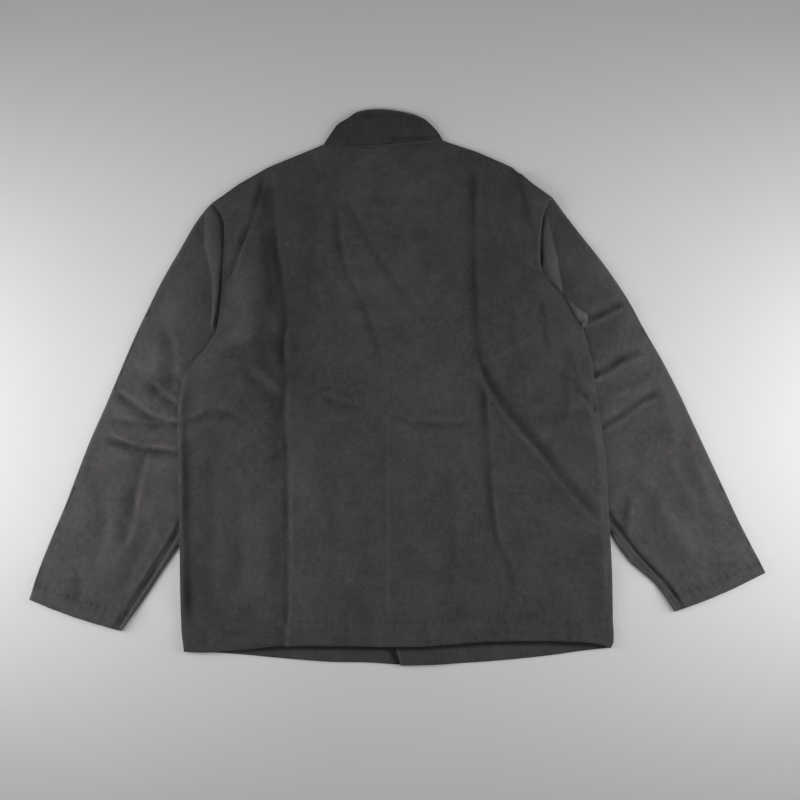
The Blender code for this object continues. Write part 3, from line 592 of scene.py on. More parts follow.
def pad_height(x, y, rows):
    """Raised, tilted plates inside closed outlines."""
    height = np.zeros(np.shape(x))
    for middle, slope, ramp, outline in rows:
        points = np.array(outline + outline[:1], float)
        gap, _, _ = nearest(x, y, points)
        inside = np.zeros(np.shape(x), bool)
        for (ax, ay), (bx, by) in zip(points, points[1:]):
            if ay != by:
                crosses = (ay > y) != (by > y)
                inside ^= crosses & (x < ax + (y - ay) * (bx - ax) / (by - ay))
        centre = points[:-1].mean(0)
        plate = middle + slope[0] * (x - centre[0]) + slope[1] * (y - centre[1])
        height += np.where(inside, plate * smooth(gap / ramp), 0.0)
    return height


def ripples(x, y):
    """Soft unevenness of the cloth, the same in each run."""
    total = np.zeros(np.shape(x))
    for wavelength, height, seed in RIPPLES:
        random = np.random.default_rng(seed)
        for _ in range(RIPPLE_WAVES):
            angle, phase = random.uniform(0, 2 * np.pi, 2)
            turn = 2 * np.pi / (wavelength * random.uniform(*RIPPLE_SPREAD))
            wave = np.sin(turn * (x * np.cos(angle) + y * np.sin(angle)) + phase)
            total += height * wave / math.sqrt(RIPPLE_WAVES / 2)
    return total


def back_painted_light(x, y):
    """Broad places of the back painted lighter or darker, as painted light and shade."""
    light_and_shade = np.zeros(np.shape(x))
    for amount, reach, line in BACK_PAINTED_LIGHT:
        gap, _, _ = nearest(x, y, line)
        light_and_shade = light_and_shade + amount * bell(gap, reach)
    return light_and_shade


def slit_depth(x, y):
    depth = np.zeros(np.shape(x))
    for half_width, line in SLIT_LINES:
        gap, _, place = nearest(x, y, rounded(line, FOLD_STEPS))
        ends = smooth(place / FOLD_TAPER + SLIT_END) * smooth((1 - place) / FOLD_TAPER + SLIT_END)
        depth = np.maximum(depth, SLIT_DEPTH * bell(gap, 2 * half_width) * ends)
    return depth


def spread(length, step, fine=0.0, windows=()):
    """Fractions of a length, a step apart, and a finer step in the windows."""
    u = np.linspace(0, 1, SPREAD_POINTS)
    density = np.full(u.shape, length / step)
    for low, high in windows:
        density[(u > low) & (u < high)] = length / fine
    total = np.cumsum(np.diff(u, prepend=0) * density)
    return np.interp(np.linspace(0, total[-1], round(total[-1]) + 1), total, u)


def tuck_lift(x, y):
    """How far the body panels ride up over the sleeves tucked under them."""
    lift = np.zeros(np.shape(x))
    for rows, body_side in ((TUCK_LEFT, 1), (TUCK_RIGHT, -1)):
        gap, side, _ = nearest(x, y, rows)
        signed = gap * side * body_side
        lift = np.maximum(lift, smooth((TUCK_REACH + TUCK_RAMP - signed) / TUCK_RAMP))
    return TUCK_LIFT * lift


def channel_lift(x, y):
    centres = np.array(BUTTON_ROWS, float)[::-1]
    centre = np.interp(y, centres[:, 1], centres[:, 0])
    across = smooth((CHANNEL_HALF + CHANNEL_RAMP - np.abs(x - centre)) / CHANNEL_RAMP)
    up = smooth((CHANNEL_TOP + CHANNEL_TOP_END - y) / CHANNEL_TOP_END)
    down = smooth((y - CHANNEL_BOTTOM + CHANNEL_BOTTOM_END) / CHANNEL_BOTTOM_END)
    return (BUTTON_THICK + SEAM) * across * up * down


def hem_extra(y):
    return (HEM_WALL - CLOTH) * smooth((HEM_ZONE - y) / HEM_ZONE_RAMP)


def overlap_shift(y):
    return OVERLAP_LEAN * (y - OVERLAP_FROM_Y)


def left_front_under(x, y):
    return channel_lift(x, y) + tuck_lift(x, y)


def right_front_under(x, y):
    over = smooth((OVERLAP_RIGHT + OVERLAP_RAMP - x + overlap_shift(y)) / OVERLAP_RAMP)
    step = CLOTH + FRONT_AIR + hem_extra(y)
    return channel_lift(x, y) + tuck_lift(x, y) + step * over


def back_under(x, y):
    x_from_overlap = x - overlap_shift(y)
    right = smooth((OVERLAP_RIGHT + OVERLAP_RAMP - x_from_overlap) / OVERLAP_RAMP)
    left = smooth((x_from_overlap - OVERLAP_LEFT + OVERLAP_RAMP) / OVERLAP_RAMP)
    step = CLOTH + FRONT_AIR + hem_extra(y)
    base = channel_lift(x, y) + tuck_lift(x, y) + CLOTH + hem_extra(y) + BODY_AIR
    return base + step * right * left


def turned_wall(distance, depth, wall):
    """Wall thickness at a distance from a turned edge."""
    turned = smooth((depth + STITCH_STEP - distance) / (2 * STITCH_STEP))
    return wall + (HEM_WALL - wall) * turned


def round_share(distance, wall):
    """How much of the wall is left near a free edge, so that the edge is round."""
    near = 1 - np.clip(distance / (wall / 2), 0, 1)
    return EDGE_LEFT + (1 - EDGE_LEFT) * np.sqrt(1 - near**2)


def settled(relief, room):
    """Relief whose troughs flatten out before the cloth meets the layer under it."""
    room = np.maximum(DEEPEST_SHARE * room, SEAM)
    return np.where(relief < 0, room * np.tanh(relief / room), relief)


def stitched(distance, line_at, x):
    """Groove and puckers along a line of stitches at a distance from an edge."""
    gap = distance - line_at
    groove = -STITCH_GROOVE * bell(gap, STITCH_GROOVE_WIDTH)
    share, length, phase = SECOND_PUCKER
    second = share * np.sin(2 * np.pi * x / (length * PUCKER_LENGTH) + phase)
    waves = np.sin(2 * np.pi * x / PUCKER_LENGTH) + second
    return groove + PUCKER_HEIGHT * waves * bell(gap, PUCKER_REACH)


def stations(fractions, roll_start, roll_end):
    """Fraction, side of the rolled edge, and cosine and sine round it, for each column or row."""
    angles = np.radians(FINE_FOLD_ANGLES)
    first, last = int(roll_start), len(fractions) - int(roll_end)
    rows = [(f, 0.0, 0.0, 1.0) for f in fractions[first:last]]
    if roll_start:
        rows = [(0.0, 1.0, math.cos(a), math.sin(a)) for a in angles] + rows
    if roll_end:
        rows += [(1.0, -1.0, math.cos(a), math.sin(a)) for a in angles[::-1]]
    return np.array(rows).T


def rolled(place, edge, cos, width, wall, share=1.0):
    """Places of the outer and inner points across a panel, round its folded edges."""
    outer = place + edge * FOLD_RADIUS * (1 - cos) / width
    return outer, outer + edge * wall * cos * share / width


def panel_of(plans, heights, side, free, wall, cloth, painted_light_and_wear, **distances):
    """A panel's grids, with its wall thinner near free edges, so that they are round."""
    thinner = (1 - round_share(free, wall)) * wall / 2
    outer = np.dstack([plans[0], heights[0] - side * thinner])
    inner = np.dstack([plans[1], heights[1] + side * thinner])
    return {"outer": outer, "inner": inner, "cloth": np.dstack(cloth), "painted_light_and_wear": painted_light_and_wear, **distances}


def painted_light_and_wear_of(edge_distance, height):
    """Lighter along edges and on ridges, as painted highlight and wear; darker in troughs, as painted shade.
    """
    edges = EDGE_HIGHLIGHT_AND_WEAR * bell(edge_distance, EDGE_HIGHLIGHT_AND_WEAR_WIDTH)
    high, low = (np.clip(value, 0, FOLD_PAINTED_LIGHT_LIMIT) for value in (height, -height))
    return edges + RIDGE_HIGHLIGHT_AND_WEAR * high - TROUGH_SHADE * low


def body_panel(lines, columns, rows, roll_side, roll_top, under, upper, left_front=False):
    """Grids of a back or front: outer and inner points, cloth coordinates, and wear with painted light and
    shade.
    """
    bottom, top, left, right = lines
    u0, u_edge, u_cos, u_sin = (value[None, :] for value in columns)
    v0, v_edge, v_cos, v_sin = (value[:, None] for value in rows)
    u0, v0 = np.broadcast_arrays(u0, v0)
    width = distance_between(at(left, v0), at(right, v0))
    height = distance_between(at(bottom, u0), at(top, u0))
    from_hem, from_top = v0 * height, (1 - v0) * height
    sides = np.minimum(u0, 1 - u0) * width
    wall = turned_wall(from_hem, HEM_DEPTH, CLOTH)
    side, shoulder = roll_side(v0), roll_top(u0)
    u_outer, u_inner = rolled(u0, u_edge, u_cos, width, wall, side)
    v_outer, v_inner = rolled(v0, v_edge, v_cos, height, wall, shoulder)
    full = (1 - side * (1 - u_sin)) * (1 - shoulder * (1 - v_sin))
    outer = patch(bottom, top, left, right, u_outer, v_outer)
    inner = patch(bottom, top, left, right, u_inner, v_inner)
    x, y = outer[..., 0], outer[..., 1]
    low, high = under(x, y), back_under(x, y) + wall
    seam = stitched(from_hem, HEM_DEPTH, x)
    if upper:
        edge = np.minimum(np.minimum(from_hem, sides), from_top)
        folds, slit = fold_height(x, y, BACK_FOLDS), slit_depth(x, y)
        balloon = BALLOON * smooth(edge / BALLOON_REACH)
        relief = folds + ripples(x, y) + seam - slit
        high = high + (balloon + settled(relief, BODY_AIR + balloon)) * full
        # Painted shadow in the slits and along the hem edge, and painted shade in the stitch groove
        shade = SLIT_SHADE * slit + HEM_SHADE * bell(from_hem, HEM_SHADE_WIDTH)
        shade = shade + STITCH_SHADE * np.clip(-seam, 0, 1)
    else:
        folds = fold_height(x, y, FRONT_FOLDS)
        if left_front:
            seam = np.minimum(seam, stitched((1 - u0) * width, FRONT_STITCH_FROM_EDGE, y))
        low = low + np.clip(folds - seam, 0, FRONT_LIFT_LIMIT) * full
        # Painted shadow of the back's hem on the fronts, and on the left front beside the right front's edge
        below_back = np.interp(x, *np.array(BACK_HEM, float).T) - y
        shade = UNDER_HEM_SHADE * bell(below_back - UNDER_HEM_AT, UNDER_HEM_WIDTH)
        shade = shade * between(x, UNDER_HEM_FROM)
        if left_front:
            from_wedge, _, _ = nearest(x, y, WEDGE_LINE)
            shade = shade + WEDGE_SHADE * bell(from_wedge, WEDGE_WIDTH)
    middle, half = (low + high) / 2, (high - low) / 2
    sign, gap = (1 if upper else -1), SEAM / 2
    heights = [middle + sign * (gap + (part - gap) * full) for part in (half, half - wall)]
    free = np.minimum(np.minimum(from_hem, from_top + FAR * shoulder), sides + FAR * side)
    # Painted highlight on edges and ridges, with wear, painted shade in troughs and the painted shadows
    # above, and on the back broad painted light and shade
    painted_light_and_wear = painted_light_and_wear_of(sides, folds) - shade + (back_painted_light(x, y) if upper else 0.0)
    cloth = [u_outer * BODY_WIDTH, v_outer * BODY_LENGTH]
    distances = {"from_hem": from_hem, "from_left": u0 * width}
    return panel_of((outer, inner), heights, sign, free, wall, cloth, painted_light_and_wear, **distances)


def side_line(side, armhole):
    return path(rounded(side), rounded(armhole), knots=(0.0, UNDERARM_AT, 1.0))


def side_roll(v):
    """1 where the back and a front share a folded side edge, 0 along the armhole."""
    return smooth((UNDERARM_AT - v) / UNDERARM_FADE)


def body_rows():
    """Rows from the hem to the shoulder, with the armhole in even steps."""
    hem = np.array(HEM_ROWS) / BODY_LENGTH
    side = UNDERARM_AT - hem[-1]
    above = hem[-1] + side * spread(side * BODY_LENGTH, BODY_ROW_STEP)[1:]
    steps = ARMHOLE_STEPS * ARMHOLE_SPLIT
    armhole = UNDERARM_AT + (1 - UNDERARM_AT) * np.arange(1, steps + 1) / steps
    return stations(np.concatenate([hem, above, armhole]), False, True)


def make_back():
    top = path(
        np.array(LEFT_SHOULDER, float),
        rounded(BACK_NECK),
        np.array(RIGHT_SHOULDER, float),
        knots=(0.0, BACK_NECK_FROM, BACK_NECK_TO, 1.0),
    )
    left = side_line(LEFT_SIDE, LEFT_ARMHOLE)
    right = side_line(RIGHT_SIDE, RIGHT_ARMHOLE)

    def roll_top(u):
        before_neck = smooth((BACK_NECK_FROM - u) / CORNER_FADE)
        after_neck = smooth((u - BACK_NECK_TO) / CORNER_FADE)
        return np.maximum(before_neck, after_neck)

    across = spread(BODY_WIDTH, BODY_COLUMN_STEP, BODY_EDGE_STEP, BODY_EDGE_WINDOWS)
    columns = stations(across, True, True)

    def under(x, y):
        return np.where(x < 0, left_front_under(x, y), right_front_under(x, y))

    lines = (path(rounded(BACK_HEM)), top, left, right)
    return body_panel(lines, columns, body_rows(), side_roll, roll_top, under, True)


def make_front(left_side):
    neck = path(rounded(FRONT_NECK))
    if left_side:
        end = cut(neck, 0.0, LEFT_FRONT_NECK_END)
        top = path(np.array(LEFT_SHOULDER, float), end, knots=(0.0, FRONT_SHOULDER_PART, 1.0))
        edge = rounded((LEFT_FRONT_HEM[-1], *LEFT_FRONT_EDGE_MIDDLE, tuple(end[-1])))
        lines = (path(rounded(LEFT_FRONT_HEM)), top, side_line(LEFT_SIDE, LEFT_ARMHOLE), path(edge))
    else:
        start = cut(neck, RIGHT_FRONT_NECK_END, 1.0)
        top = path(start, np.array(RIGHT_SHOULDER, float), knots=(0.0, 1 - FRONT_SHOULDER_PART, 1.0))
        edge = rounded((RIGHT_FRONT_HEM[0], *RIGHT_FRONT_EDGE_MIDDLE, tuple(start[0])))
        lines = (path(rounded(RIGHT_FRONT_HEM)), top, path(edge), side_line(RIGHT_SIDE, RIGHT_ARMHOLE))

    def roll_top(u):
        from_side = u if left_side else 1 - u
        return smooth((FRONT_SHOULDER_PART - from_side) / CORNER_FADE)

    across = spread(FRONT_WIDTH, FRONT_COLUMN_STEP, BODY_EDGE_STEP, FRONT_EDGE_WINDOWS)
    columns = stations(across, left_side, not left_side)
    under = left_front_under if left_side else right_front_under
    return body_panel(lines, columns, body_rows(), side_roll, roll_top, under, False, left_side)


def tube_stations(fractions):
    """Round a flattened tube: fraction, rolled edge, cosine, sine and which layer it is in."""
    over = stations(fractions, True, True)
    under = over[:, ::-1][:, 1:-1]
    layer = np.concatenate([np.ones(over.shape[1]), -np.ones(under.shape[1])])
    return np.vstack([np.hstack([over, under]), layer])


def make_sleeve(sections, armhole, tuck_from, body_side, folds, pads):
    table = np.array(sections, float)
    knots = np.linspace(0, 1, CURVE_STEPS * (len(table) - 1) + 1)
    outer_line, inner_line = ((knots, rounded(part)) for part in (table[:, :2], table[:, 2:]))
    head = path(rounded(armhole)[::-1])
    cuff = CUFF_DEPTH / SLEEVE_LENGTH
    cuff_rows = 1 - np.array(CUFF_ROWS)[::-1] / SLEEVE_LENGTH
    upper_rows = cuff_rows[0] * spread(SLEEVE_LENGTH, SLEEVE_ROW_STEP, SLEEVE_HEAD_STEP, SLEEVE_HEAD_WINDOWS)
    s = np.concatenate([upper_rows[:-1], cuff_rows])[:, None]
    steps = ARMHOLE_STEPS * ARMHOLE_SPLIT
    seam_at = (SLEEVE_SEAM_FROM + SLEEVE_SEAM_TO) / 2
    across = np.append(np.arange(steps + 1) / steps, seam_at)
    t0, edge, cos, sin, layer = (value[None, :] for value in tube_stations(np.sort(across)))

    start, end = at(outer_line, s), at(inner_line, s)
    width = distance_between(start, end)
    from_cuff = (1 - s) * SLEEVE_LENGTH
    wall = turned_wall(from_cuff, CUFF_DEPTH, CLOTH)
    t_outer, t_inner = rolled(t0, edge, cos, width, wall)

    tucked = smooth((t_outer[:1] - tuck_from) / TUCK_SLIDE)
    dropped = smooth((t_outer[:1] - tuck_from + TUCK_SLIDE) / TUCK_SLIDE)
    seam_line = at(head, t_outer[:1])
    head_shift = [body_side * (HEAD_TUCK * tucked - HEAD_SEAM * (1 - tucked)), -HEAD_TUCK * tucked]
    head_line = seam_line + np.dstack(head_shift)

    def plan(t):
        chord = (1 - t[..., None]) * start + t[..., None] * end
        fade = (1 - smooth(s / HEAD_FADE))[..., None]
        bow = CUFF_BOW * np.sin(np.pi * t) * between(s, (CUFF_BOW_FROM, 1.0))
        shift = (head_line - chord[:1]) * fade
        return chord + shift + np.dstack([np.zeros_like(t), -bow])

    outer, inner = plan(t_outer), plan(t_inner)
    x, y = outer[..., 0], outer[..., 1]
    lift = tuck_lift(seam_line[..., 0], seam_line[..., 1]) * (1 - dropped)
    low = lift * (1 - smooth(s / HEAD_LIFT_FADE)) * np.ones_like(t_outer)
    cuffed = smooth((s - 1 + CUFF_SWELL * cuff) / cuff)
    stack = 2 * CLOTH + SLEEVE_AIR + (2 * (HEM_WALL - CLOTH) + CUFF_AIR - SLEEVE_AIR) * cuffed
    puff_end = PUFF_END_TOP + (PUFF_END_CUFF - PUFF_END_TOP) * between(s, PUFF_END_FADE)
    puff = SLEEVE_PUFF * np.sin(np.pi * np.clip(t_outer / puff_end, 0, 1)) ** 2
    puff = puff * between(s, PUFF_FADE) * (1 - cuffed)
    past_seam = between(t_outer, (SLEEVE_SEAM_FROM, SLEEVE_SEAM_TO))
    step = SLEEVE_SEAM_STEP * past_seam * between(s, SLEEVE_SEAM_FADE) * (1 - cuffed)
    shape, raised, slit = fold_height(x, y, folds), pad_height(x, y, pads), slit_depth(x, y)
    seam = stitched(from_cuff + 0 * x, CUFF_DEPTH, t_outer * width)
    sides = np.minimum(t_outer, 1 - t_outer) * width
    free = np.minimum(from_cuff, s * SLEEVE_LENGTH)
    loft = SLEEVE_LOFT * smooth(np.minimum(sides, free) / LOFT_REACH) * (1 - cuffed)
    relief = settled(shape + ripples(x, y) + seam - slit, stack - 2 * wall + puff + loft) + raised
    top = low + stack + (puff + loft - step + relief) * (layer > 0) * sin
    under_folds = np.clip(fold_height(x, y, SLEEVE_UNDER_FOLDS) - seam, 0, SLEEVE_LIFT_LIMIT)
    bottom = low + under_folds * (layer < 0) * sin
    middle, half = (bottom + top) / 2, (top - bottom) / 2
    heights = [middle + layer * part * sin for part in (half, half - wall)]
    # Painted shade near the armhole and along the sleeve seam, painted highlight on the pads, painted shade
    # in slits, troughs and the stitch groove, and highlight with wear on edges and ridges
    from_armhole, _, _ = nearest(x, y, armhole)
    seam_shade_mask = bell((t_outer - seam_at) * width, SLEEVE_SEAM_WIDTH) * between(s, SLEEVE_SEAM_FADE)
    seam_shade = SLEEVE_SEAM_SHADE * seam_shade_mask
    painted_light_and_wear = (
        painted_light_and_wear_of(sides, SLEEVE_FOLD_PAINTED_LIGHT * shape)
        - STITCH_SHADE * np.clip(-seam, 0, 1)
        - HEAD_SHADE * bell(from_armhole, HEAD_SHADE_WIDTH)
        + (PAD_HIGHLIGHT * raised - SLIT_SHADE * slit - seam_shade) * (layer > 0)
    )
    around = np.where(layer > 0, t_outer, 2 - t_outer)
    cloth = [around * width, s * SLEEVE_LENGTH * np.ones_like(t_outer)]
    from_cuff = from_cuff + 0 * x
    return panel_of((outer, inner), heights, layer * sin, free, wall, cloth, painted_light_and_wear, from_cuff=from_cuff)


def collar_layer(neck, seam, top):
    """The four edge lines of the collar's back or front layer, clear of the neck seam."""
    base = offset(rounded(neck), seam)
    left = rounded((tuple(base[0]), *COLLAR_LEFT_FOLD))
    right = rounded((tuple(base[-1]), *COLLAR_RIGHT_FOLD))
    return path(base), path(rounded(top)), path(left), path(right)


def make_collar():
    back = collar_layer(BACK_NECK, NECK_SEAM, COLLAR_BACK_TOP)
    front = collar_layer(FRONT_NECK, FRONT_NECK_SEAM, COLLAR_FRONT_TOP)
    t0, edge, cos, sin, layer = tube_stations(spread(COLLAR_WIDTH, COLLAR_COLUMN_STEP))
    start = np.argmax((layer < 0) & (edge == 0) & (t0 < COLLAR_CENTRE))
    order = np.roll(np.arange(len(t0)), -start)
    t0, edge, cos, sin, layer = (value[order][None, :] for value in (t0, edge, cos, sin, layer))
    t0 = t0.copy()
    t0[0, 0] = COLLAR_CENTRE - COLLAR_OPENING
    t0[0, -1] = COLLAR_CENTRE + COLLAR_OPENING
    v = smooth(np.linspace(0, 1, COLLAR_ROW_COUNT))[:, None]
    t_outer, t_inner = rolled(t0 + 0 * v, edge, cos, COLLAR_WIDTH, COLLAR_WALL)
    v = v + 0 * t0

    def plan(t):
        return np.where(layer[..., None] > 0, patch(*back, t, v), patch(*front, t, v))

    outer, inner = plan(t_outer), plan(t_inner)
    x, y = outer[..., 0], outer[..., 1]
    tall = distance_between(outer[:1], outer[-1:]) + 0 * v
    from_top, from_base = (1 - v) * tall, v * tall
    folds = fold_height(x, y, COLLAR_FOLDS)
    groove = stitched(from_top, COLLAR_STITCH_FROM_TOP, x)
    half = COLLAR_WALL + COLLAR_AIR / 2
    relief = (folds + groove + COLLAR_RIPPLE_SHARE * ripples(x, y)) * (layer > 0) * sin
    heights = [half + layer * part * sin + relief for part in (half, half - COLLAR_WALL)]
    around = np.cumsum(np.hypot(*np.diff(outer[0], axis=0, prepend=outer[0, :1]).T))[None, :] + 0 * v
    free = np.minimum(from_top, from_base)
    # Painted highlight with wear along the upper edge and on ridges, and painted shade in troughs
    painted_light_and_wear = painted_light_and_wear_of(from_top, folds)
    cloth = [around, v * tall]
    return panel_of((outer, inner), heights, layer * sin, free, COLLAR_WALL, cloth, painted_light_and_wear, from_top=from_top)


def add_panel(name, panel, ring, material):
    """A closed wall from a panel's grids, with cloth coordinates in metres and its wear with painted light
    and shade.
    """
    outer, inner, cloth = panel["outer"], panel["inner"], panel["cloth"]
    rows, columns = outer.shape[:2]
    index = np.arange(rows * columns).reshape(rows, columns)
    if ring:
        index = np.hstack([index, index[:, :1]])
        closing = 2 * cloth[:, -1:] - cloth[:, -2:-1]
        cloth = np.hstack([cloth, closing])
    back = index + rows * columns
    place = np.arange(index.size).reshape(index.shape)
    faces, corners = [], []
    for grid, turn in ((index, 1), (back, -1)):
        for source, found in ((grid, faces), (place, corners)):
            square = np.stack([source[:-1, :-1], source[:-1, 1:], source[1:, 1:], source[1:, :-1]], axis=-1)
            found.append(square.reshape(-1, 4)[:, ::turn])
    rims = [(index[0], back[0], place[0]), (back[-1], index[-1], place[-1])]
    if not ring:
        rims += [(back[:, 0], index[:, 0], place[:, 0]), (index[:, -1], back[:, -1], place[:, -1])]
    for near, far, spot in rims:
        faces.append(np.stack([far[:-1], far[1:], near[1:], near[:-1]], axis=-1))
        corners.append(np.stack([spot[:-1], spot[1:], spot[1:], spot[:-1]], axis=-1))
    faces, corners = np.vstack(faces), np.vstack(corners)
    points = np.vstack([outer.reshape(-1, 3), inner.reshape(-1, 3)]) * MM
    a, b, c, d = (points[faces[:, k]] for k in range(4))
    if np.einsum("ij,ij->i", a + b + c + d, np.cross(c - a, d - b)).sum() < 0:
        faces, corners = faces[:, ::-1], corners[:, ::-1]
    mesh = bpy.data.meshes.new(name)
    mesh.from_pydata(points.tolist(), [], faces.tolist())
    layer = mesh.uv_layers.new(name=CLOTH_UV)
    layer.data.foreach_set("uv", (cloth.reshape(-1, 2)[corners.ravel()] * MM).ravel().astype(np.float32))
    painted_light_and_wear = mesh.attributes.new(PAINTED_LIGHT_AND_WEAR, "FLOAT", "POINT")
    painted_light_and_wear.data.foreach_set("value", np.tile(panel["painted_light_and_wear"].ravel(), 2).astype(np.float32))
    return add_piece(name, mesh, material)


def add_piece(name, mesh, material):
    mesh.materials.append(material)
    mesh.shade_smooth()
    piece = bpy.data.objects.new(name, mesh)
    bpy.context.scene.collection.objects.link(piece)
    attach(piece, "root")
    return piece


def line_at(panel, distance, value, axis=0):
    """Points of the outer grid at a distance from an edge, with the surface's normals."""
    grid = panel["outer"]
    normals = np.cross(np.gradient(grid, axis=1), np.gradient(grid, axis=0))
    normals /= np.maximum(np.linalg.norm(normals, axis=-1, keepdims=True), TINY)
    if axis:
        grid, normals, distance = (np.swapaxes(values, 0, 1) for values in (grid, normals, distance))
    both = np.concatenate([grid, normals], axis=-1)
    found = []
    for column in range(grid.shape[1]):
        reach = distance[:, column]
        order = np.argsort(reach)
        found.append([np.interp(value, reach[order], both[order, column, k]) for k in range(6)])
    return np.array(found)


def add_stitches(name, lines, material):
    """Short threads, half sunk in the cloth, along lines of points and normals."""
    sets = []
    for line, face in lines:
        length = np.concatenate([[0], np.cumsum(np.linalg.norm(np.diff(line[:, :3], axis=0), axis=1))])
        middles = np.arange(STITCH_PITCH, length[-1] - STITCH_PITCH, STITCH_PITCH)
        ends = [
            np.stack([np.interp(middles + step, length, line[:, k]) for k in range(3)], axis=-1)
            for step in (-STITCH_LENGTH / 2, STITCH_LENGTH / 2)
        ]
        middle = (ends[0] + ends[1]) / 2
        along = ends[1] - ends[0]
        along /= np.linalg.norm(along, axis=1, keepdims=True)
        up = np.stack([np.interp(middles, length, line[:, k]) for k in range(3, 6)], axis=-1)
        up *= np.sign(up[:, 2:] * face + TINY)
        across = np.cross(along, up)
        across /= np.linalg.norm(across, axis=1, keepdims=True)
        up = np.cross(across, along)
        turn = (2 * np.pi * np.arange(STITCH_SIDES) / STITCH_SIDES)[None, :, None]
        round_it = np.cos(turn) * across[:, None] + np.sin(turn) * up[:, None]
        sink = UNDER_STITCH_SINK if face < 0 else 0.0
        rings = []
        for place, size, rise in STITCH_RINGS:
            centre = middle + along * place * STITCH_LENGTH / 2 + up * (rise - sink)
            ring = centre[:, None] + STITCH_RADIUS * size * round_it
            ring[..., 2] = np.maximum(ring[..., 2], 0)
            rings.append(ring)
        sets.append(np.stack(rings, axis=1))
    points = np.concatenate(sets)
    count, ring_count, sides = points.shape[:3]
    index = np.arange(points.size // 3).reshape(count, ring_count, sides)
    after = np.roll(index, -1, axis=2)
    walls = np.stack([index[:, :-1], after[:, :-1], after[:, 1:], index[:, 1:]], axis=-1).reshape(-1, 4)
    caps = np.vstack([index[:, 0, ::-1], index[:, -1]])
    mesh = bpy.data.meshes.new(name)
    mesh.from_pydata((points.reshape(-1, 3) * MM).tolist(), [], walls.tolist() + caps.tolist())
    shape = bmesh.new()
    shape.from_mesh(mesh)
    bmesh.ops.recalc_face_normals(shape, faces=shape.faces)
    shape.to_mesh(mesh)
    shape.free()
    return add_piece(name, mesh, material)


def finished(name, shape):
    """The mesh of a shape, with its faces turned outwards."""
    bmesh.ops.recalc_face_normals(shape, faces=shape.faces)
    mesh = bpy.data.meshes.new(name)
    shape.to_mesh(mesh)
    shape.free()
    return mesh


def skin(shape, rings):
    """A closed skin over rings of points, capped at both ends."""
    rings = [[shape.verts.new(point) for point in ring] for ring in rings]
    sides = len(rings[0])
    for low, high in zip(rings, rings[1:]):
        for k in range(sides):
            n = (k + 1) % sides
            shape.faces.new((low[k], low[n], high[n], high[k]))
    for ring in (rings[0], rings[-1]):
        shape.faces.new(ring)


def add_button(name, x, y, material):
    """A four-hole button with a sunk middle, its face down."""
    turn = 2 * np.pi * np.arange(BUTTON_ROUND_SIDES) / BUTTON_ROUND_SIDES
    shape = bmesh.new()
    rings = [
        [(radius * np.cos(a), radius * np.sin(a), height) for a in turn]
        for radius, height in BUTTON_PROFILE
    ]
    skin(shape, rings)
    mesh = finished(name, shape)
    mesh.transform(Matrix.Translation((x, y, 0)))
    mesh.transform(Matrix.Scale(MM, 4))
    piece = add_piece(name, mesh, material)
    drill_button(piece, x, y)
    return piece


def drill_button(piece, x, y):
    """Cuts the four sewing holes."""
    shape = bmesh.new()
    radius = BUTTON_HOLE_RADIUS * MM
    for dx in (-BUTTON_HOLE_AT, BUTTON_HOLE_AT):
        for dy in (-BUTTON_HOLE_AT, BUTTON_HOLE_AT):
            bmesh.ops.create_cone(
                shape,
                cap_ends=True,
                segments=BUTTON_HOLE_SIDES,
                radius1=radius,
                radius2=radius,
                depth=2 * BUTTON_THICK * MM,
                matrix=Matrix.Translation(((x + dx) * MM, (y + dy) * MM, BUTTON_THICK / 2 * MM)),
            )
    mesh = bpy.data.meshes.new("holes")
    shape.to_mesh(mesh)
    shape.free()
    cutter = bpy.data.objects.new("holes", mesh)
    bpy.context.scene.collection.objects.link(cutter)
    cutting = piece.modifiers.new("holes", "BOOLEAN")
    cutting.operation, cutting.solver, cutting.object = "DIFFERENCE", "EXACT", cutter
    graph = bpy.context.evaluated_depsgraph_get()
    cut_mesh = bpy.data.meshes.new_from_object(piece.evaluated_get(graph))
    piece.modifiers.clear()
    piece.data = cut_mesh
    bpy.data.objects.remove(cutter)
    cut_mesh.set_sharp_from_angle(angle=math.radians(BUTTON_SHARP_ANGLE))


def add_button_threads(name, places, material):
    """Two rounded bars of thread through the holes of each button."""
    turn = 2 * np.pi * np.arange(BAR_SIDES) / BAR_SIDES
    shape = bmesh.new()
    for x, y in places:
        for dx in (-BUTTON_HOLE_AT, BUTTON_HOLE_AT):
            start, end = (np.array([x + dx, y + dy, 0.0]) for dy in (-BUTTON_HOLE_AT, BUTTON_HOLE_AT))
            along = (end - start) / np.linalg.norm(end - start)
            across = np.array([-along[1], along[0], 0.0])
            rings = []
            for place, size, drop in BAR_RINGS:
                centre = start + (end - start) * place + np.array([0, 0, BUTTON_BAR_Z + drop])
                round_it = [np.cos(a) * across + np.array([0, 0, np.sin(a)]) for a in turn]
                rings.append([(centre + BAR_RADIUS * size * spoke) * MM for spoke in round_it])
            skin(shape, rings)
    return add_piece(name, finished(name, shape), material)


def fill(tree, made, inputs):
    """Sets a node's inputs: each is a number, a colour or another node's output."""
    for key, value in inputs.items():
        if isinstance(value, bpy.types.NodeSocket):
            tree.links.new(value, made.inputs[key])
        else:
            made.inputs[key].default_value = value


def node(tree, kind, inputs=None, **settings):
    made = tree.nodes.new("ShaderNode" + kind)
    for key, value in settings.items():
        setattr(made, key, value)
    fill(tree, made, inputs or {})
    return made


def math_of(tree, operation, *values):
    return node(tree, "Math", dict(enumerate(values)), operation=operation).outputs[0]


def times(tree, *factors):
    total = factors[0]
    for factor in factors[1:]:
        total = math_of(tree, "MULTIPLY", total, factor)
    return total


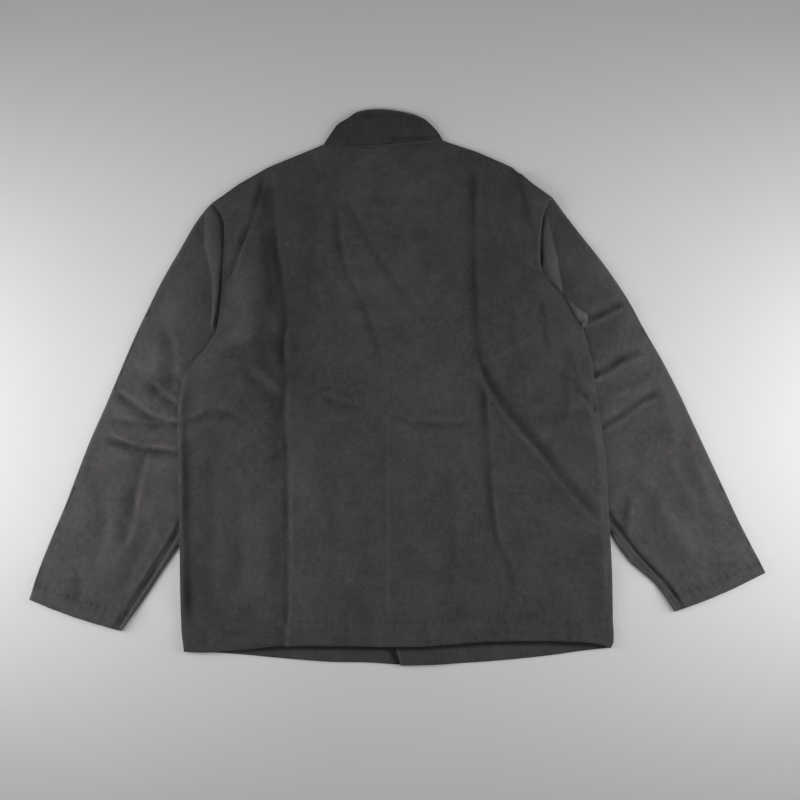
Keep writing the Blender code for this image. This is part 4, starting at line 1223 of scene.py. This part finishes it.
def noise(tree, vector, scale, detail=2.0, rough=0.5):
    """Noise from 0 to 1; a scale is in cells per metre."""
    inputs = {"Vector": vector, "Scale": scale, "Detail": detail, "Roughness": rough}
    return node(tree, "TexNoise", inputs).outputs["Fac"]


def ramp(tree, value, start, end, low=0.0, high=1.0):
    """A value mapped from one range to another and held at its ends."""
    return node(tree, "MapRange", {"Value": value, 1: start, 2: end, 3: low, 4: high}).outputs[0]


def stretched(tree, vector, stretch):
    return node(tree, "Mapping", {"Vector": vector, "Scale": stretch}).outputs[0]


def scaled(tree, colour, factor):
    return node(tree, "VectorMath", {0: colour, "Scale": factor}, operation="SCALE").outputs[0]


def shade_by(tree, vector, scale, depth, detail=FINE_DETAIL, stretch=(1, 1, 1)):
    """Noise as a brightness factor round 1."""
    value = noise(tree, stretched(tree, vector, stretch), scale, detail, SHADE_ROUGH)
    return ramp(tree, value, NOISE_LOW, NOISE_HIGH, 1 - depth, 1 + depth)


def crinkles(tree, cloth):
    """Thin lines of painted shade, as in fine creases, in patches of the cloth, as brightness factors."""
    scale, low, high = CRINKLE_PATCHES
    mask = ramp(tree, noise(tree, cloth, scale), low, high)
    factors = []
    for scale, width, depth in CRINKLES:
        centred = math_of(tree, "SUBTRACT", noise(tree, cloth, scale, FINE_DETAIL), 0.5)
        line = ramp(tree, math_of(tree, "ABSOLUTE", centred), 0.0, width, depth, 0.0)
        factors.append(math_of(tree, "SUBTRACT", 1.0, times(tree, line, mask)))
    return factors


def bump(tree, height, depth, normal=None):
    inputs = {"Height": height, "Distance": depth * MM, "Strength": 1.0}
    if normal is not None:
        inputs["Normal"] = normal
    return node(tree, "Bump", inputs).outputs[0]


def new_material(name):
    material = bpy.data.materials.new(name)
    material.use_nodes = True
    tree = material.node_tree
    return material, tree, tree.nodes["Principled BSDF"]


def cloth_material(name, colour, tint):
    """Thick washed cotton: blotches, flecks, yarns and a short nap, with painted light and shade from the
    mesh and painted shade of fine creases.
    """
    material, tree, shader = new_material(name)
    cloth = node(tree, "UVMap", uv_map=CLOTH_UV).outputs[0]
    painted_light_and_wear = node(tree, "Attribute", attribute_name=PAINTED_LIGHT_AND_WEAR).outputs["Fac"]
    factors = [shade_by(tree, cloth, *layer) for layer in CLOTH_SHADES] + crinkles(tree, cloth)
    # Brightness from the wear with painted highlight and painted shade
    factors.append(ramp(tree, painted_light_and_wear, -1.0, 1.0, 1 - PAINTED_LIGHT_AND_WEAR_DEPTH, 1 + PAINTED_LIGHT_AND_WEAR_DEPTH))
    hue = noise(tree, cloth, HUE_SCALE)
    base = node(tree, "Mix", {"Factor": hue, 6: (*colour, 1), 7: (*tint, 1)}, data_type="RGBA").outputs[2]
    normal = None
    for pitch, depth, angle in YARNS:
        turned = node(tree, "Mapping", {"Vector": cloth, "Rotation": (0, 0, math.radians(angle))}).outputs[0]
        inputs = {"Vector": turned, "Scale": WAVE_TURN / pitch, "Distortion": YARN_WANDER, **YARN_DETAIL}
        normal = bump(tree, node(tree, "TexWave", inputs).outputs["Fac"], depth, normal)
    for scale, depth, stretch in NAPS:
        normal = bump(tree, noise(tree, stretched(tree, cloth, stretch), scale, FINE_DETAIL), depth, normal)
    inputs = {
        "Base Color": scaled(tree, base, times(tree, *factors)),
        "Roughness": ramp(tree, hue, 0.0, 1.0, *CLOTH_ROUGH),
        "Specular IOR Level": CLOTH_SPECULAR,
        "Sheen Weight": CLOTH_SHEEN,
        "Sheen Roughness": CLOTH_SHEEN_ROUGH,
        "Sheen Tint": (*SHEEN_TINT, 1),
        "Normal": normal,
    }
    fill(tree, shader, inputs)
    return material


def thread_material(name, colour):
    material, tree, shader = new_material(name)
    twist = noise(tree, node(tree, "TexCoord").outputs["Object"], THREAD_SCALE)
    inputs = {
        "Base Color": scaled(tree, colour, ramp(tree, twist, 0.0, 1.0, *THREAD_SHADE)),
        "Normal": bump(tree, twist, THREAD_BUMP),
        "Roughness": THREAD_ROUGH,
        "Sheen Weight": THREAD_SHEEN,
    }
    fill(tree, shader, inputs)
    return material


def button_material(name, colour):
    material, tree, shader = new_material(name)
    place = node(tree, "TexCoord").outputs["Object"]
    grain = noise(tree, place, BUTTON_GRAIN)
    inputs = {
        "Base Color": scaled(tree, colour, shade_by(tree, place, *BUTTON_CLOUDS)),
        "Roughness": ramp(tree, grain, 0.0, 1.0, *BUTTON_ROUGH),
        "Normal": bump(tree, grain, BUTTON_BUMP),
    }
    fill(tree, shader, inputs)
    return material


def floor_material(name, colour):
    material, tree, shader = new_material(name)
    place = node(tree, "TexCoord").outputs["Object"]
    shade = times(tree, *(shade_by(tree, place, *layer) for layer in FLOOR_SHADES))
    inputs = {
        "Base Color": scaled(tree, colour, shade),
        "Roughness": FLOOR_ROUGH,
        "Specular IOR Level": FLOOR_SPECULAR,
    }
    fill(tree, shader, inputs)
    return material


def add_floor():
    mesh = bpy.data.meshes.new("floor")
    half = FLOOR_SIZE / 2
    corners = [(-half, -half, 0), (half, -half, 0), (half, half, 0), (-half, half, 0)]
    mesh.from_pydata(corners, [], [(0, 1, 2, 3)])
    mesh.materials.append(floor_material("floor_paper", FLOOR_COLOUR))
    floor = bpy.data.objects.new("floor", mesh)
    floor.location.z = FLOOR_Z
    bpy.context.scene.collection.objects.link(floor)


def add_light(name, place, aim, size, power):
    lamp = bpy.data.lights.new(name, "AREA")
    lamp.shape, lamp.size, lamp.size_y, lamp.energy = "RECTANGLE", size[0], size[1], power
    light = bpy.data.objects.new(name, lamp)
    light.location, light.visible_camera = place, False
    light.rotation_euler = (Vector(aim) - Vector(place)).to_track_quat("-Z", "Y").to_euler()
    bpy.context.scene.collection.objects.link(light)


def set_the_stage():
    scene = bpy.context.scene
    add_floor()
    for light in LIGHTS:
        add_light(*light)
    world = bpy.data.worlds.new("studio")
    world.use_nodes = True
    background = world.node_tree.nodes["Background"]
    background.inputs["Color"].default_value = (*WORLD_COLOUR, 1)
    background.inputs["Strength"].default_value = WORLD_STRENGTH
    scene.world = world
    camera = bpy.data.objects.new("camera", bpy.data.cameras.new("camera"))
    camera.data.lens, camera.data.sensor_width = CAMERA_LENS, CAMERA_SENSOR
    camera.data.clip_end = CAMERA_FAR
    camera.location = (CAMERA_AIM[0] * MM, CAMERA_AIM[1] * MM, PHOTO_WIDTH * MM * CAMERA_LENS / CAMERA_SENSOR)
    scene.collection.objects.link(camera)
    scene.camera = camera
    scene.view_settings.view_transform = "Standard"


def dress():
    body_cloth = cloth_material("body_cotton", *BODY_SHADES)
    sleeve_cloth = cloth_material("sleeve_cotton", *SLEEVE_SHADES)
    collar_cloth = cloth_material("collar_cotton", *COLLAR_SHADES)
    thread = thread_material("sewing_thread", THREAD_COLOUR)
    resin = button_material("button_resin", BUTTON_COLOUR)

    back, left, right = make_back(), make_front(True), make_front(False)
    pieces = {}
    for name, panel in (("back", back), ("front_left", left), ("front_right", right)):
        pieces[name] = add_panel(name + "_cloth", panel, False, body_cloth)
        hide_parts(name)
    sleeves = {
        "sleeve_left": make_sleeve(
            LEFT_SLEEVE, LEFT_ARMHOLE, LEFT_TUCK_FROM, 1, SLEEVE_LEFT_FOLDS, LEFT_PADS,
        ),
        "sleeve_right": make_sleeve(
            RIGHT_SLEEVE, RIGHT_ARMHOLE, RIGHT_TUCK_FROM, -1, SLEEVE_RIGHT_FOLDS, RIGHT_PADS,
        ),
    }
    for name, panel in sleeves.items():
        pieces[name] = add_panel(name + "_cloth", panel, True, sleeve_cloth)
        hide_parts(name)
    collar = make_collar()
    pieces["collar"] = add_panel("collar_cloth", collar, False, collar_cloth)
    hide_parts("collar")

    threads = {name: [] for name in pieces}
    for name, panel, face in (("back", back, 1), ("front_left", left, -1), ("front_right", right, -1)):
        lines = [(line_at(panel, panel["from_hem"], HEM_DEPTH), face)]
        if name == "front_left":
            from_edge = panel["from_left"].max(axis=1, keepdims=True) - panel["from_left"]
            lines.append((line_at(panel, from_edge, FRONT_STITCH_FROM_EDGE, 1), face))
        threads[name].append(add_stitches(name + "_stitches", lines, thread))
    for name, panel in sleeves.items():
        line = line_at(panel, panel["from_cuff"], CUFF_DEPTH)
        over = line.shape[0] // 2 + 1
        lines = [(line[:over], 1), (line[over:], -1)]
        threads[name].append(add_stitches(name + "_stitches", lines, thread))
    line = line_at(collar, collar["from_top"], COLLAR_STITCH_FROM_TOP)
    upper = line[line[:, 2] > COLLAR_WALL + COLLAR_AIR]
    threads["collar"].append(add_stitches("collar_stitches", [(upper, 1)], thread))

    for number, (x, y) in enumerate(BUTTON_ROWS, start=1):
        name = f"button_{number}"
        button = add_button(name + "_resin", x, y, resin)
        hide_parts(name)
    threads["front_left"].append(add_button_threads("button_threads", BUTTON_ROWS, thread))


def main():
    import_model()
    dress()
    set_the_stage()


main()
